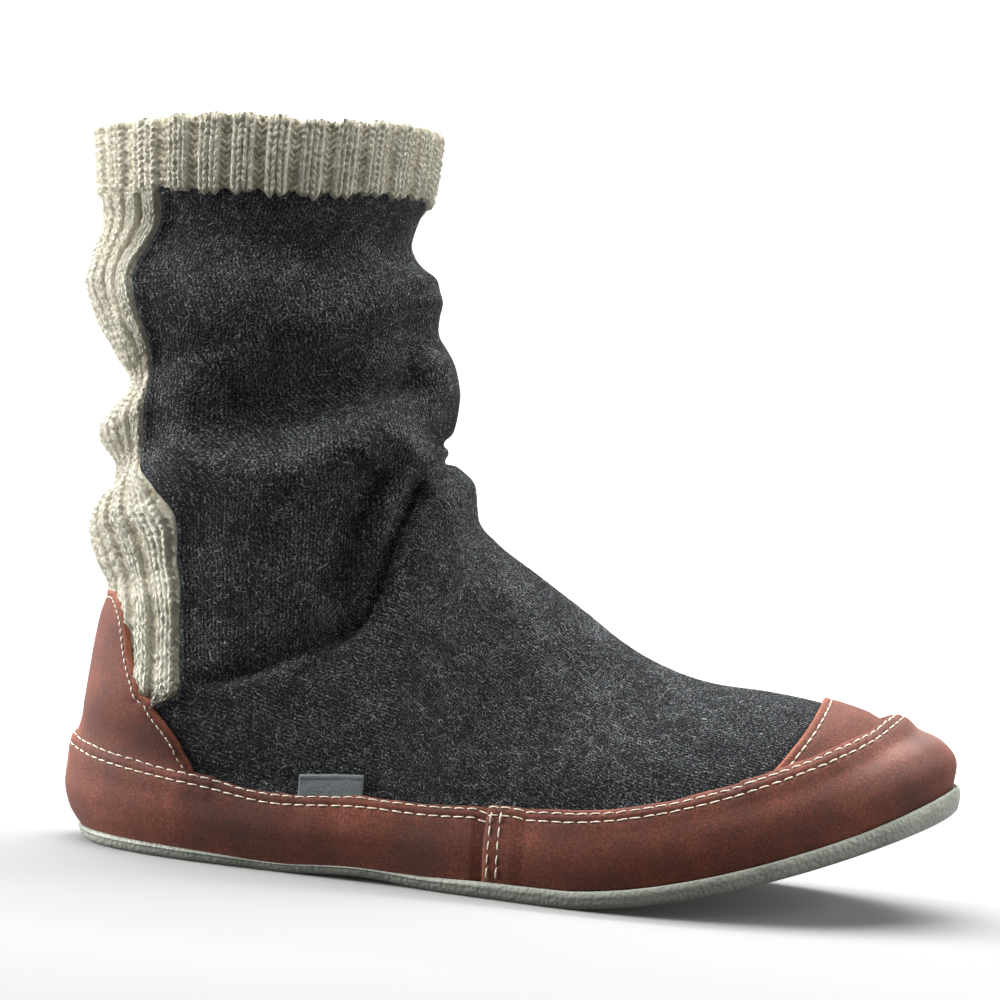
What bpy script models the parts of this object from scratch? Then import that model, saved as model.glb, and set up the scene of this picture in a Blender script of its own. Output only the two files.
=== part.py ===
"""Slipper sock for the right foot: a slouched knit boot on a rubber sole.

The scene is in metres, +Z up. The toe points along +X and the outer side of the foot along -Y.
The heel and the ball of the outsole rest on z = 0, and the sole bends up from the ball to the toe.

The knit upper is one hollow wall. Its shape is a stack of closed rings, from the feather line
round the sole to the collar. Each ring runs from a point at the heel to a point on the vamp ridge
or the front of the shaft. The rows of SECTIONS place them as shares of the named sizes.
The rand, heel counter, toe cap and tab are shells offset outward from the same surface.
"""

import bpy
import numpy as np

# Sizes of the shoe
LENGTH = 0.274
BALL_WIDTH = 0.096
COLLAR_OVERHANG = 0.0036
COUNTER_RISE = 0.0475
INSTEP_RISE = 0.1065
BACK_RISE = 0.1865
FRONT_RISE = 0.199
TOE_SPRING = 0.031
ARCH_LIFT = 0.0012
HEEL_ROLL = 0.003

# Walls and clearances
KNIT_WALL = 0.0024
CUFF_WALL = 0.0036
SUEDE_WALL = 0.0013
RAND_WALL = 0.0018
LAP_WALL = 0.0009
TAB_WALL = 0.0008
INSOLE_THICK = 0.0055
CURVE_GAP = 0.0006
EDGE_GAP = 0.0008

# Outsole
SOLE_THICK = 0.0042
RAND_HEIGHT = 0.0195
LIP_WALL = 0.0012
LIP_MAX = 0.0042
LIP_CLEARANCE = 0.0009
EDGE_ROUND = 0.0027

# Side tab and the laps of the rand
TAB_LENGTH = 0.0195
TAB_HEIGHT = 0.0078
TAB_AT = 0.342
LAP_AT = 0.519
LAP_LENGTH = 0.008
SKIVE_LENGTH = 0.004

# Share of the length at which the sole starts to bend up, and how fast it does so
BEND_AT = 0.607
BEND_POWER = 1.5
ARCH_AT = (0.28, 0.47)
ROLL_AT = 0.075

# How finely the forms are cut
AROUND = 44
COUNTER_COLUMNS = 13
CAP_COLUMNS = 15

HEEL_X = -(LENGTH - COLLAR_OVERHANG) / 2

# Plan of the sole, along the length: half width and centre line as shares of the ball width.
# The half width is multiplied by the ellipse through heel and toe.
PLAN_COLUMNS = ("at", "full", "centre")
PLAN = (
    (0.00, 0.970, 0.000),
    (0.10, 0.940, 0.000),
    (0.20, 0.865, -0.003),
    (0.30, 0.800, -0.012),
    (0.40, 0.775, -0.026),
    (0.50, 0.830, -0.034),
    (0.60, 0.965, -0.030),
    (0.70, 1.085, -0.012),
    (0.80, 1.160, 0.015),
    (0.90, 1.190, 0.048),
    (1.00, 1.190, 0.080),
)

# Heights along the length: the sole's edge as a share of SOLE_THICK, the top of the rand above it
# as a share of RAND_HEIGHT, and the rubber lip outside the rand as a share of LIP_MAX.
EDGE_COLUMNS = ("at", "sole", "rand", "lip")
EDGES = (
    (0.00, 1.05, 1.38, 0.16),
    (0.06, 1.02, 1.20, 0.12),
    (0.12, 1.00, 1.10, 0.10),
    (0.20, 0.95, 1.00, 0.10),
    (0.28, 0.86, 0.94, 0.10),
    (0.40, 0.92, 0.96, 0.12),
    (0.52, 1.05, 1.02, 0.14),
    (0.62, 1.12, 1.08, 0.16),
    (0.70, 1.18, 1.13, 0.18),
    (0.80, 1.28, 1.19, 0.24),
    (0.90, 1.42, 1.26, 0.40),
    (0.94, 1.50, 1.38, 0.60),
    (1.00, 1.70, 1.43, 1.00),
)

# Sections of the upper, from the feather line to the rim of the cuff.
# back_at and front_at are shares of LENGTH from the heel. back_up is a share of COUNTER_RISE up to
# 1, and from there to 2 it goes on to BACK_RISE. front_up does the same with INSTEP_RISE and
# FRONT_RISE. Both are measured from the rand's top edge. side_up lifts the ring halfway along its
# sides, as a share of FRONT_RISE. half is the half width as a share of half the ball width, oval
# turns the plan of the foot (0) into an ellipse (1), and rand is the share of the rand's height
# that the ring has. lean, start and tip shape the climb of the ring from back to front: a straight
# part, where the steep part starts, and a last turn up at the ridge.
SECTION_COLUMNS = (
    "back_at", "back_up", "front_at", "front_up", "side_up",
    "half", "oval", "rand", "lean", "start", "tip",
)
SECTIONS = {
    "feather":     ( 0.036, 0.000, 0.987, 0.000, 0.000, 0.925, 0.00, 0.00, 1.00, 0.00, 0.00),
    "rand_low":    ( 0.017, 0.000, 0.989, 0.000, 0.000, 0.946, 0.00, 0.27, 1.00, 0.00, 0.00),
    "rand_mid":    ( 0.013, 0.000, 0.977, 0.000, 0.000, 0.950, 0.00, 0.50, 1.00, 0.00, 0.00),
    "rand_high":   ( 0.014, 0.000, 0.951, 0.000, 0.000, 0.942, 0.00, 0.75, 1.00, 0.00, 0.00),
    "rand_top":    ( 0.017, 0.000, 0.926, 0.000, 0.000, 0.923, 0.00, 1.00, 1.00, 0.10, 0.00),
    "cap_mid":     ( 0.021, 0.042, 0.893, 0.073, 0.000, 0.908, 0.00, 1.00, 0.30, 0.20, 0.25),
    "cap_rear":    ( 0.022, 0.084, 0.850, 0.152, 0.000, 0.902, 0.00, 1.00, 0.20, 0.25, 0.25),
    "toe_ridge":   ( 0.025, 0.126, 0.793, 0.232, 0.000, 0.894, 0.03, 1.00, 0.15, 0.30, 0.25),
    "ball_ridge":  ( 0.025, 0.164, 0.721, 0.309, 0.000, 0.883, 0.08, 1.00, 0.12, 0.35, 0.22),
    "vamp_low":    ( 0.026, 0.196, 0.653, 0.408, 0.000, 0.865, 0.16, 1.00, 0.14, 0.40, 0.16),
    "vamp_mid":    ( 0.026, 0.227, 0.589, 0.530, 0.000, 0.844, 0.28, 1.00, 0.20, 0.45, 0.10),
    "vamp_high":   ( 0.028, 0.253, 0.530, 0.637, 0.000, 0.823, 0.42, 1.00, 0.26, 0.52, 0.06),
    "instep_low":  ( 0.028, 0.274, 0.481, 0.726, 0.000, 0.802, 0.58, 1.00, 0.30, 0.58, 0.04),
    "instep_mid":  ( 0.029, 0.288, 0.457, 0.792, 0.000, 0.787, 0.70, 1.00, 0.32, 0.62, 0.03),
    "instep_top":  ( 0.029, 0.301, 0.449, 0.895, 0.000, 0.775, 0.80, 1.00, 0.33, 0.66, 0.02),
    "instep_roll": ( 0.029, 0.314, 0.427, 0.946, 0.000, 0.767, 0.90, 1.00, 0.34, 0.70, 0.02),
    "crease":      ( 0.030, 0.326, 0.409, 1.000, 0.000, 0.740, 1.00, 1.00, 0.35, 0.74, 0.02),
    "ankle_1":     ( 0.033, 0.484, 0.420, 1.056, 0.000, 0.762, 1.00, 1.00, 0.40, 0.62, 0.02),
    "ankle_2":     ( 0.035, 0.653, 0.423, 1.110, 0.000, 0.783, 1.00, 1.00, 0.50, 0.50, 0.01),
    "ankle_3":     ( 0.040, 0.832, 0.424, 1.169, 0.000, 0.797, 1.00, 1.00, 0.62, 0.40, 0.00),
    "counter_top": ( 0.046, 1.000, 0.420, 1.229, 0.000, 0.804, 1.00, 1.00, 0.72, 0.30, 0.00),
    "bulge_1":     ( 0.030, 1.061, 0.414, 1.279, 0.000, 0.812, 1.00, 1.00, 0.82, 0.20, 0.00),
    "bulge_2":     ( 0.017, 1.126, 0.404, 1.323, 0.000, 0.821, 1.00, 1.00, 0.90, 0.10, 0.00),
    "bulge_3":     ( 0.024, 1.183, 0.395, 1.362, 0.000, 0.821, 1.00, 1.00, 0.95, 0.00, 0.00),
    "pinch_1":     ( 0.043, 1.230, 0.392, 1.400, 0.000, 0.817, 1.00, 1.00, 1.00, 0.00, 0.00),
    "pinch_2":     ( 0.045, 1.277, 0.393, 1.438, 0.000, 0.821, 1.00, 1.00, 1.00, 0.00, 0.00),
    "bulge_4":     ( 0.021, 1.342, 0.396, 1.475, 0.000, 0.833, 1.00, 1.00, 1.00, 0.00, 0.00),
    "bulge_5":     ( 0.034, 1.392, 0.392, 1.514, 0.000, 0.829, 1.00, 1.00, 1.00, 0.00, 0.00),
    "pinch_3":     ( 0.055, 1.468, 0.389, 1.547, 0.000, 0.821, 1.00, 1.00, 1.00, 0.00, 0.00),
    "calf_1":      ( 0.034, 1.532, 0.378, 1.585, 0.000, 0.833, 1.00, 1.00, 1.00, 0.00, 0.00),
    "calf_2":      ( 0.007, 1.597, 0.367, 1.630, 0.000, 0.854, 1.00, 1.00, 1.00, 0.00, 0.00),
    "calf_3":      (-0.008, 1.665, 0.360, 1.668, 0.000, 0.858, 1.00, 1.00, 1.00, 0.00, 0.00),
    "calf_4":      (-0.001, 1.730, 0.359, 1.701, 0.000, 0.854, 1.00, 1.00, 1.00, 0.00, 0.00),
    "calf_5":      ( 0.009, 1.806, 0.362, 1.738, 0.000, 0.854, 1.00, 1.00, 1.00, 0.00, 0.00),
    "cuff_seam":   ( 0.003, 1.867, 0.369, 1.781, 0.004, 0.873, 1.00, 1.00, 1.00, 0.00, 0.00),
    "cuff_mid":    (-0.004, 1.930, 0.372, 1.890, 0.010, 0.890, 1.00, 1.00, 1.00, 0.00, 0.00),
    "rim":         (-0.014, 1.985, 0.379, 1.985, 0.022, 0.902, 1.00, 1.00, 1.00, 0.00, 0.00),
}
NAMES = list(SECTIONS)

# Folds of the slouched shaft, seen from the side: from one place to another as shares of LENGTH
# and of FRONT_RISE, then the half width and the depth in metres, inward positive. side is -1 for
# the outer side of the foot, 1 for the inner side and 0 for both.
FOLD_COLUMNS = ("side", "from_at", "from_up", "to_at", "to_up", "wide", "deep")
FOLDS = (
    (0, 0.200, 0.275, 0.322, 0.335, 0.0045, 0.0020),
    (0, 0.322, 0.335, 0.370, 0.461, 0.0050, 0.0030),
    (0, 0.370, 0.461, 0.384, 0.563, 0.0050, 0.0030),
    (0, 0.384, 0.563, 0.411, 0.652, 0.0050, 0.0022),
    (0, 0.221, 0.338, 0.315, 0.390, 0.0075, -0.0022),
    (0, 0.315, 0.390, 0.352, 0.516, 0.0070, -0.0024),
    (-1, 0.269, 0.644, 0.378, 0.657, 0.0050, 0.0024),
    (-1, 0.378, 0.657, 0.405, 0.720, 0.0050, 0.0020),
    (-1, 0.200, 0.610, 0.334, 0.602, 0.0065, -0.0016),
    (-1, 0.168, 0.700, 0.390, 0.715, 0.0080, -0.0014),
    (1, 0.150, 0.560, 0.270, 0.600, 0.0055, 0.0024),
    (1, 0.270, 0.600, 0.380, 0.690, 0.0055, 0.0022),
    (1, 0.160, 0.640, 0.330, 0.690, 0.0070, -0.0016),
    (0, 0.120, 0.780, 0.270, 0.820, 0.0070, 0.0012),
)

# Where the ribbed back panel ends, as shares of the way round from the centre back.
PANEL = (
    ("instep_mid", 0.178),
    ("instep_roll", 0.200),
    ("crease", 0.209),
    ("ankle_1", 0.209),
    ("ankle_3", 0.196),
    ("counter_top", 0.183),
    ("bulge_1", 0.194),
    ("bulge_2", 0.186),
    ("bulge_3", 0.168),
    ("pinch_1", 0.150),
    ("pinch_2", 0.136),
    ("bulge_4", 0.156),
    ("pinch_3", 0.133),
    ("calf_1", 0.154),
    ("calf_3", 0.170),
    ("cuff_seam", 0.185),
)
PANEL_FIRST = "instep_mid"
PANEL_SHARE = 0.182

# Front edge of the heel counter on each section, as a share of the way round from the centre back
COUNTER = (
    ("rand_top", 0.149),
    ("cap_mid", 0.145),
    ("ball_ridge", 0.148),
    ("vamp_high", 0.157),
    ("crease", 0.161),
    ("ankle_1", 0.151),
    ("ankle_2", 0.137),
    ("ankle_3", 0.117),
)

# The counter's peak is a quarter turn of an ellipse, cut off just before its end
PEAK_TURN = np.radians(79)
PEAK_ROWS = 8

# Toe cap: its half width at the rand, as a share of the way round, and the share left at its rear
CAP_HALF_WAY = 0.136
CAP_REAR_SHARE = 0.04
CAP_ROWS = 6

# The cuff's rim is rounded by one more row, this share of a row up and drawn in from both faces
CROWN_UP = 0.16
CROWN_IN = 0.65

# The outsole's edge from the tread up to the top face: how far each ring is drawn in from the
# widest outline, the level it follows, and its height above that level
SOLE_RINGS = (
    (0.0108, "tread", 0),
    (EDGE_ROUND, "tread", 0),
    (0.3 * EDGE_ROUND, "tread", 0.3 * EDGE_ROUND),
    (0, "tread", EDGE_ROUND),
    (0, "lip", -0.0003),
    (0.0004, "lip", 0),
    (0.0011, "lip", 0),
    (LIP_WALL, "top", 0),
    (0.006, "top", 0),
)

# The insole's edge: the section number beside each ring, its distance from the wall and its
# height as a share of the thickness
INSOLE_RINGS = (
    (0.0, 0.0012, 0.00),
    (0.2, 0.0009, 0.25),
    (0.5, 0.0009, 0.80),
    (0.6, 0.0020, 1.00),
    (0.6, 0.0070, 1.00),
)


def table_column(rows, columns, name):
    """One named column of a table as an array."""
    return np.array([row[columns.index(name)] for row in rows], float)


def smooth_read(x, knots, values):
    """A smooth curve through a table's values, read at x and held level beyond its ends."""
    x = np.clip(x, knots[0], knots[-1])
    slopes = np.gradient(values, knots)
    i = np.clip(np.searchsorted(knots, x, side="right") - 1, 0, len(knots) - 2)
    step = knots[i + 1] - knots[i]
    t = (x - knots[i]) / step
    rise = values[i] * (2 * t**3 - 3 * t**2 + 1) + values[i + 1] * (3 * t**2 - 2 * t**3)
    turn = slopes[i] * (t**3 - 2 * t**2 + t) + slopes[i + 1] * (t**3 - t**2)
    return rise + step * turn


def plan(at, name):
    """The plan's full or centre column at a share of the length."""
    knots = table_column(PLAN, PLAN_COLUMNS, "at")
    return smooth_read(at, knots, table_column(PLAN, PLAN_COLUMNS, name))


def edge(at, name):
    """A height along the sole's edge at a share of the length."""
    knots = table_column(EDGES, EDGE_COLUMNS, "at")
    return smooth_read(at, knots, table_column(EDGES, EDGE_COLUMNS, name))


def share_of_length(x):
    return (x - HEEL_X) / LENGTH


def last_bottom(x):
    """The line that the foot stands on: level, raised a little at the waist, and bent up to the toe."""
    at = share_of_length(x)
    bend = np.clip((at - BEND_AT) / (1 - BEND_AT), 0, 1) ** BEND_POWER
    arch = np.clip((at - ARCH_AT[0]) / (ARCH_AT[1] - ARCH_AT[0]), 0, 1)
    return TOE_SPRING * bend + ARCH_LIFT * np.sin(np.pi * arch) ** 2


def sole_bottom(x):
    """Underside of the outsole, which also rises behind the heel."""
    roll = np.clip(1 - share_of_length(x) / ROLL_AT, 0, 1) ** 2
    return last_bottom(x) + HEEL_ROLL * roll


def sole_top(x):
    """Top face of the outsole, on which the upper, rand and insole stand."""
    return last_bottom(x) + SOLE_THICK * edge(share_of_length(x), "sole")


def section(v, name):
    """A column of SECTIONS at section number v, where whole numbers are the rows."""
    values = table_column(list(SECTIONS.values()), SECTION_COLUMNS, name)
    return smooth_read(v, np.arange(len(values), dtype=float), values)


def row_number(name):
    return float(NAMES.index(name))


def two_step(share, low, high):
    """A height: shares up to 1 count in low, and from 1 to 2 they go on to high."""
    return low * np.minimum(share, 1) + (high - low) * np.maximum(share - 1, 0)


def last_form(u, v):
    """Points of the smooth surface. u goes round from the centre back over the outer side."""
    turn = 2 * np.pi * u
    share = (1 - np.cos(turn)) / 2
    back = section(v, "back_at")
    front = section(v, "front_at")
    at = back + (front - back) * share
    oval = section(v, "oval")
    full = (1 - oval) * plan(at, "full") + oval
    half = section(v, "half") * BALL_WIDTH / 2
    y = (1 - oval) * plan(at, "centre") * BALL_WIDTH - half * full * np.sin(turn)
    x = HEEL_X + LENGTH * at

    lean = section(v, "lean")
    start = section(v, "start")
    tip = section(v, "tip")
    steep = np.clip((share - start) / (1 - start), 0, 1)
    climb = lean * share + tip * share**12 + (1 - lean - tip) * steep**2 * (3 - 2 * steep)
    low = two_step(section(v, "back_up"), COUNTER_RISE, BACK_RISE)
    high = two_step(section(v, "front_up"), INSTEP_RISE, FRONT_RISE)
    rand = section(v, "rand") * RAND_HEIGHT * edge(at, "rand")
    sides = section(v, "side_up") * FRONT_RISE * np.sin(turn) ** 2
    z = sole_top(x) + CURVE_GAP + rand + low + (high - low) * climb + sides
    return np.stack([x, y, z], axis=-1)


def outward(u, v, step=1e-3):
    """Unit normals of the smooth surface."""
    along = last_form(u + step, v) - last_form(u - step, v)
    top = len(NAMES) - 1
    up = last_form(u, np.minimum(v + step, top)) - last_form(u, np.maximum(v - step, 0))
    normal = np.cross(along, up)
    return normal / np.linalg.norm(normal, axis=-1, keepdims=True)


def fold_depth(points):
    """How far the folds push the wall inward at these points."""
    at = share_of_length(points[..., 0])
    up = points[..., 2]
    side = np.sign(points[..., 1])
    total = np.zeros(at.shape)
    for row in FOLDS:
        fold = dict(zip(FOLD_COLUMNS, row))
        a = np.array([fold["from_at"] * LENGTH, fold["from_up"] * FRONT_RISE])
        b = np.array([fold["to_at"] * LENGTH, fold["to_up"] * FRONT_RISE])
        here = np.stack([at * LENGTH, up], axis=-1) - a
        run = b - a
        t = np.clip(here @ run / (run @ run), 0, 1)
        away = np.linalg.norm(here - t[..., None] * run, axis=-1) / fold["wide"]
        amount = fold["deep"] * np.exp(-away**2)
        if fold["side"]:
            # A fold of one side fades out before the centre line
            inside = np.clip(np.abs(points[..., 1]) / (0.25 * BALL_WIDTH), 0, 1)
            amount = amount * inside * (side == fold["side"])
        total = total + amount
    return total


def skin(u, v, offset):
    """The surface with its folds, offset outward."""
    u, v = np.broadcast_arrays(np.asarray(u, float), np.asarray(v, float))
    points = last_form(u, v)
    push = offset - fold_depth(points)
    return points + outward(u, v) * push[..., None]


def stand(grid):
    """Puts the first row of a grid on the sole, just clear of it."""
    grid[0, :, 2] = sole_top(grid[0, :, 0]) + CURVE_GAP
    return grid


def draw_in(grid, axis, end, distance):
    """Moves one edge row or column of a grid of points toward its neighbour."""
    edge_row = [slice(None)] * 3
    next_row = [slice(None)] * 3
    edge_row[axis] = 0 if end == "first" else -1
    next_row[axis] = 1 if end == "first" else -2
    away = grid[tuple(next_row)] - grid[tuple(edge_row)]
    size = np.linalg.norm(away, axis=-1, keepdims=True)
    grid[tuple(edge_row)] += away / size * distance


def material(name, colour, roughness):
    """A plain material. colour is a linear red, green and blue."""
    made = bpy.data.materials.new(name)
    made.use_nodes = True
    shader = made.node_tree.nodes["Principled BSDF"]
    shader.inputs["Base Color"].default_value = (*colour, 1)
    shader.inputs["Roughness"].default_value = roughness
    shader.inputs["Metallic"].default_value = 0
    return made


def add_object(name, points, faces, finish):
    """A mesh object from points and triangles, shaded smooth across soft edges."""
    mesh = bpy.data.meshes.new(name)
    mesh.from_pydata(points.tolist(), [], faces)
    mesh.materials.append(finish)
    mesh.shade_smooth()
    mesh.set_sharp_from_angle(angle=np.radians(50))
    made = bpy.data.objects.new(name, mesh)
    bpy.context.scene.collection.objects.link(made)
    return made


def shell(name, outer, inner, finish, cells=None, closed=False):
    """A closed wall between two grids of points, rows by columns.

    cells tells which quads of the grid the wall has. closed joins the last column to the first.
    """
    rows, columns = outer.shape[:2]
    wide = columns if closed else columns - 1
    if cells is None:
        cells = np.ones((rows - 1, wide), bool)
    shift = rows * columns
    faces = []

    def corner(row, column):
        return row * columns + column % columns

    def has(row, column):
        if closed:
            column %= wide
        return 0 <= row < rows - 1 and 0 <= column < wide and cells[row, column]

    def quad(a, b, c, d):
        faces.append((a, b, c))
        faces.append((a, c, d))

    for row in range(rows - 1):
        for column in range(wide):
            if not cells[row, column]:
                continue
            a, b = corner(row, column), corner(row, column + 1)
            c, d = corner(row + 1, column + 1), corner(row + 1, column)
            quad(a, b, c, d)
            faces.append((a + shift, c + shift, b + shift))
            faces.append((a + shift, d + shift, c + shift))
            for missing, first, second in (
                (not has(row - 1, column), a, b),
                (not has(row + 1, column), c, d),
                (not has(row, column + 1), b, c),
                (not has(row, column - 1), d, a),
            ):
                if missing:
                    quad(second, first, first + shift, second + shift)
    points = np.concatenate([outer.reshape(-1, 3), inner.reshape(-1, 3)])
    used, index = np.unique(np.array(faces), return_inverse=True)
    return add_object(name, points[used], index.reshape(-1, 3).tolist(), finish)


def along_sections(table, v):
    """Reads a short table of (section name, value) at section number v."""
    knots = np.array([row_number(row[0]) for row in table])
    return np.interp(v, knots, np.array([row[1] for row in table]))


def column_shares():
    """The columns of the knit, evenly spread before they follow the back panel's edges."""
    return np.arange(AROUND) / AROUND


def warped_way(share, v):
    """Moves the columns so that those at the panel's edges follow it from section to section."""
    edge_column = round(PANEL_SHARE * AROUND) / AROUND
    wide = along_sections(PANEL, v)
    knots = np.array([0, edge_column, 1 - edge_column, 1])
    return np.interp(share, knots, np.array([0, wide, 1 - wide, 1]))


def knit_grid(first, last, offset):
    """Grid of the upper's own columns from one section to another."""
    numbers = np.arange(row_number(first), row_number(last) + 1)
    shares = column_shares()
    way = np.array([warped_way(shares, v) for v in numbers])
    return skin(way, numbers[:, None], offset)


def build_upper(finish):
    """The charcoal knit wall: closed round the heel, open behind where the back panel goes."""
    outer = stand(knit_grid("feather", "cuff_seam", 0))
    inner = stand(knit_grid("feather", "cuff_seam", -KNIT_WALL))
    rows = outer.shape[0]
    cells = np.ones((rows - 1, AROUND), bool)
    edge_column = round(PANEL_SHARE * AROUND)
    first = NAMES.index(PANEL_FIRST)
    cells[first:, :edge_column] = False
    cells[first:, AROUND - edge_column :] = False
    return shell("upper", outer, inner, finish, cells, closed=True)


def build_back_panel(finish):
    """The ribbed panel up the back, in the opening of the upper."""
    edge_column = round(PANEL_SHARE * AROUND)
    order = np.arange(-edge_column, edge_column + 1) % AROUND
    sides = []
    for offset in (0, -KNIT_WALL):
        grid = knit_grid(PANEL_FIRST, "cuff_seam", offset)[:, order].copy()
        for axis in (0, 1):
            draw_in(grid, axis, "first", EDGE_GAP)
            draw_in(grid, axis, "last", EDGE_GAP)
        sides.append(grid)
    return shell("back_panel", sides[0], sides[1], finish)


def build_cuff(finish):
    """The ribbed band, turned double, with a rounded rim."""
    numbers = np.array([row_number(n) for n in ("cuff_seam", "cuff_mid", "rim")])
    shares = column_shares()[None, :]
    outer = skin(shares, numbers[:, None], CUFF_WALL - KNIT_WALL)
    inner = skin(shares, numbers[:, None], -KNIT_WALL)
    draw_in(outer, 0, "first", EDGE_GAP)
    draw_in(inner, 0, "first", EDGE_GAP)
    crown = (outer[-1] + inner[-1]) / 2 + (outer[-1] - outer[-2]) * CROWN_UP
    sides = []
    for grid in (outer, inner):
        last = grid[-1] + (crown - grid[-1]) * CROWN_IN
        sides.append(np.concatenate([grid, last[None]]))
    return shell("ribbed_cuff", sides[0], sides[1], finish, closed=True)


def build_counter(finish):
    """The heel counter, from the rand's top edge up to its rounded peak."""
    shoulder = row_number(COUNTER[-1][0])
    below = np.arange(row_number("rand_top"), shoulder)
    peak = np.linspace(0, PEAK_TURN, PEAK_ROWS)
    numbers = np.concatenate([below, shoulder + np.sin(peak)])
    wide = along_sections(COUNTER, numbers)
    wide[len(below) :] *= np.cos(peak)
    spread = np.linspace(-1, 1, COUNTER_COLUMNS)
    way = wide[:, None] * spread[None, :]
    sides = []
    for offset in (EDGE_GAP + SUEDE_WALL, EDGE_GAP):
        grid = skin(way, numbers[:, None], offset)
        draw_in(grid, 0, "first", EDGE_GAP)
        sides.append(grid)
    return shell("heel_counter", sides[0], sides[1], finish)


def build_toe_cap(finish):
    """The toe cap, from the rand's top edge back to its U-shaped rear edge."""
    low = row_number("rand_top")
    high = row_number("cap_rear")
    share = CAP_REAR_SHARE + (1 - CAP_REAR_SHARE) * np.linspace(1, 0, CAP_ROWS) ** 1.5
    numbers = high - (high - low) * share
    wide = CAP_HALF_WAY * np.sqrt(share)
    spread = np.linspace(-1, 1, CAP_COLUMNS)
    way = 0.5 + wide[:, None] * spread[None, :]
    sides = []
    for offset in (CURVE_GAP + SUEDE_WALL, CURVE_GAP):
        grid = skin(way, numbers[:, None], offset)
        draw_in(grid, 0, "first", EDGE_GAP)
        sides.append(grid)
    return shell("toe_cap", sides[0], sides[1], finish)


def way_of(at, v):
    """Share of the way round, on the outer side, at which section v passes a share of LENGTH."""
    back = section(v, "back_at")
    front = section(v, "front_at")
    return np.arccos(1 - 2 * (at - back) / (front - back)) / (2 * np.pi)


def build_rand(name, stops, finish):
    """One length of the rand.

    Each stop is a share of LENGTH, the side (-1 outer, 1 inner) and the outer and inner offset
    there. The first and last stop are the ends, and the columns between two stops are even.
    """
    numbers = np.arange(row_number("feather"), row_number("rand_top") + 1)
    behind = stops[0][1] > 0

    def way_at(at, side, v):
        way = way_of(at, v)
        if side > 0:
            return -way if behind else 1 - way
        return way

    middle = [way_at(at, side, numbers[len(numbers) // 2]) for at, side, _, _ in stops]
    counts = [max(1, round((b - a) * AROUND)) for a, b in zip(middle, middle[1:])]
    spread = [k + np.arange(count) / count for k, count in enumerate(counts)]
    spread = np.append(np.concatenate(spread), len(counts))
    knots = np.arange(len(stops))
    way = []
    for v in numbers:
        at_stops = [way_at(at, side, v) for at, side, _, _ in stops]
        way.append(np.interp(spread, knots, at_stops))
    sides = []
    for column in (2, 3):
        offset = np.interp(spread, knots, [stop[column] for stop in stops])
        sides.append(stand(skin(np.array(way), numbers[:, None], offset[None, :])))
    return shell(name, sides[0], sides[1], finish)


def build_rands(finish):
    """The rear length under the front length, lapped at the outer and the inner side."""
    under = LAP_AT - SKIVE_LENGTH / LENGTH
    rear_end = LAP_AT + LAP_LENGTH / LENGTH
    over = rear_end + SKIVE_LENGTH / LENGTH
    full = (CURVE_GAP + RAND_WALL, CURVE_GAP)
    thin = (CURVE_GAP + LAP_WALL, CURVE_GAP)
    raised = (2 * CURVE_GAP + 2 * LAP_WALL, 2 * CURVE_GAP + LAP_WALL)
    rear = ((rear_end, thin), (LAP_AT, thin), (under, full))
    front = ((LAP_AT, raised), (rear_end, raised), (over, full))
    for name, half, first_side in (("rand_rear", rear, 1), ("rand_front", front, -1)):
        one = [(at, first_side, *offsets) for at, offsets in half]
        other = [(at, -first_side, *offsets) for at, offsets in reversed(half)]
        build_rand(name, one + other, finish)


def place_on_side(x, z, way, v):
    """Finds the place on the surface, near a first guess, that has this x and z."""
    small = 1e-4
    for _ in range(12):
        here = last_form(way, v)
        by_way = (last_form(way + small, v) - here) / small
        by_v = (last_form(way, v + small) - here) / small
        missing_x = x - here[..., 0]
        missing_z = z - here[..., 2]
        size = by_way[..., 0] * by_v[..., 2] - by_v[..., 0] * by_way[..., 2]
        way = way + (missing_x * by_v[..., 2] - by_v[..., 0] * missing_z) / size
        v = v + (by_way[..., 0] * missing_z - missing_x * by_way[..., 2]) / size
    return way, v


def build_tab(finish):
    """The small woven tab at the rand's top edge, flat against the knit."""
    half = TAB_LENGTH / LENGTH / 2
    at = np.linspace(TAB_AT - half, TAB_AT + half, 5)
    foot = row_number("rand_top")
    base = last_form(way_of(at, foot), foot)
    rise = np.linspace(EDGE_GAP, TAB_HEIGHT, 4)
    x = np.broadcast_to(base[:, 0], (4, 5))
    z = base[:, 2] + rise[:, None]
    guess = np.broadcast_to(way_of(at, foot), (4, 5))
    way, v = place_on_side(x, z, guess, np.full((4, 5), foot + 1))
    sides = [skin(way, v, CURVE_GAP + wall) for wall in (TAB_WALL, 0)]
    return shell("side_tab", sides[0], sides[1], finish)


def plan_ring(out):
    """The feather line seen from above, moved outward by out, as x and y."""
    ring = last_form(np.arange(AROUND) / AROUND, np.zeros(AROUND))[:, :2]
    along = np.roll(ring, -1, axis=0) - np.roll(ring, 1, axis=0)
    along /= np.linalg.norm(along, axis=-1, keepdims=True)
    outward_way = np.stack([along[:, 1], -along[:, 0]], axis=-1)
    return ring + outward_way * np.asarray(out)[..., None]


def stacked_body(name, rings, finish):
    """A closed body from rings of points, its first and last ring filled from side to side."""
    count = len(rings[0])
    half = count // 2
    faces = []
    for level in range(len(rings) - 1):
        for i in range(count):
            j = (i + 1) % count
            a, b = level * count + i, level * count + j
            faces.append((a, b, b + count))
            faces.append((a, b + count, a + count))
    top = (len(rings) - 1) * count
    for i in range(half):
        near, near_next = i, i + 1
        far, far_next = (count - i) % count, count - i - 1
        if near != far:
            faces.append((near, far, near_next))
            faces.append((top + near, top + near_next, top + far))
        if near_next != far_next:
            faces.append((near_next, far, far_next))
            faces.append((top + near_next, top + far_next, top + far))
    return add_object(name, np.concatenate(rings), faces, finish)


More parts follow.
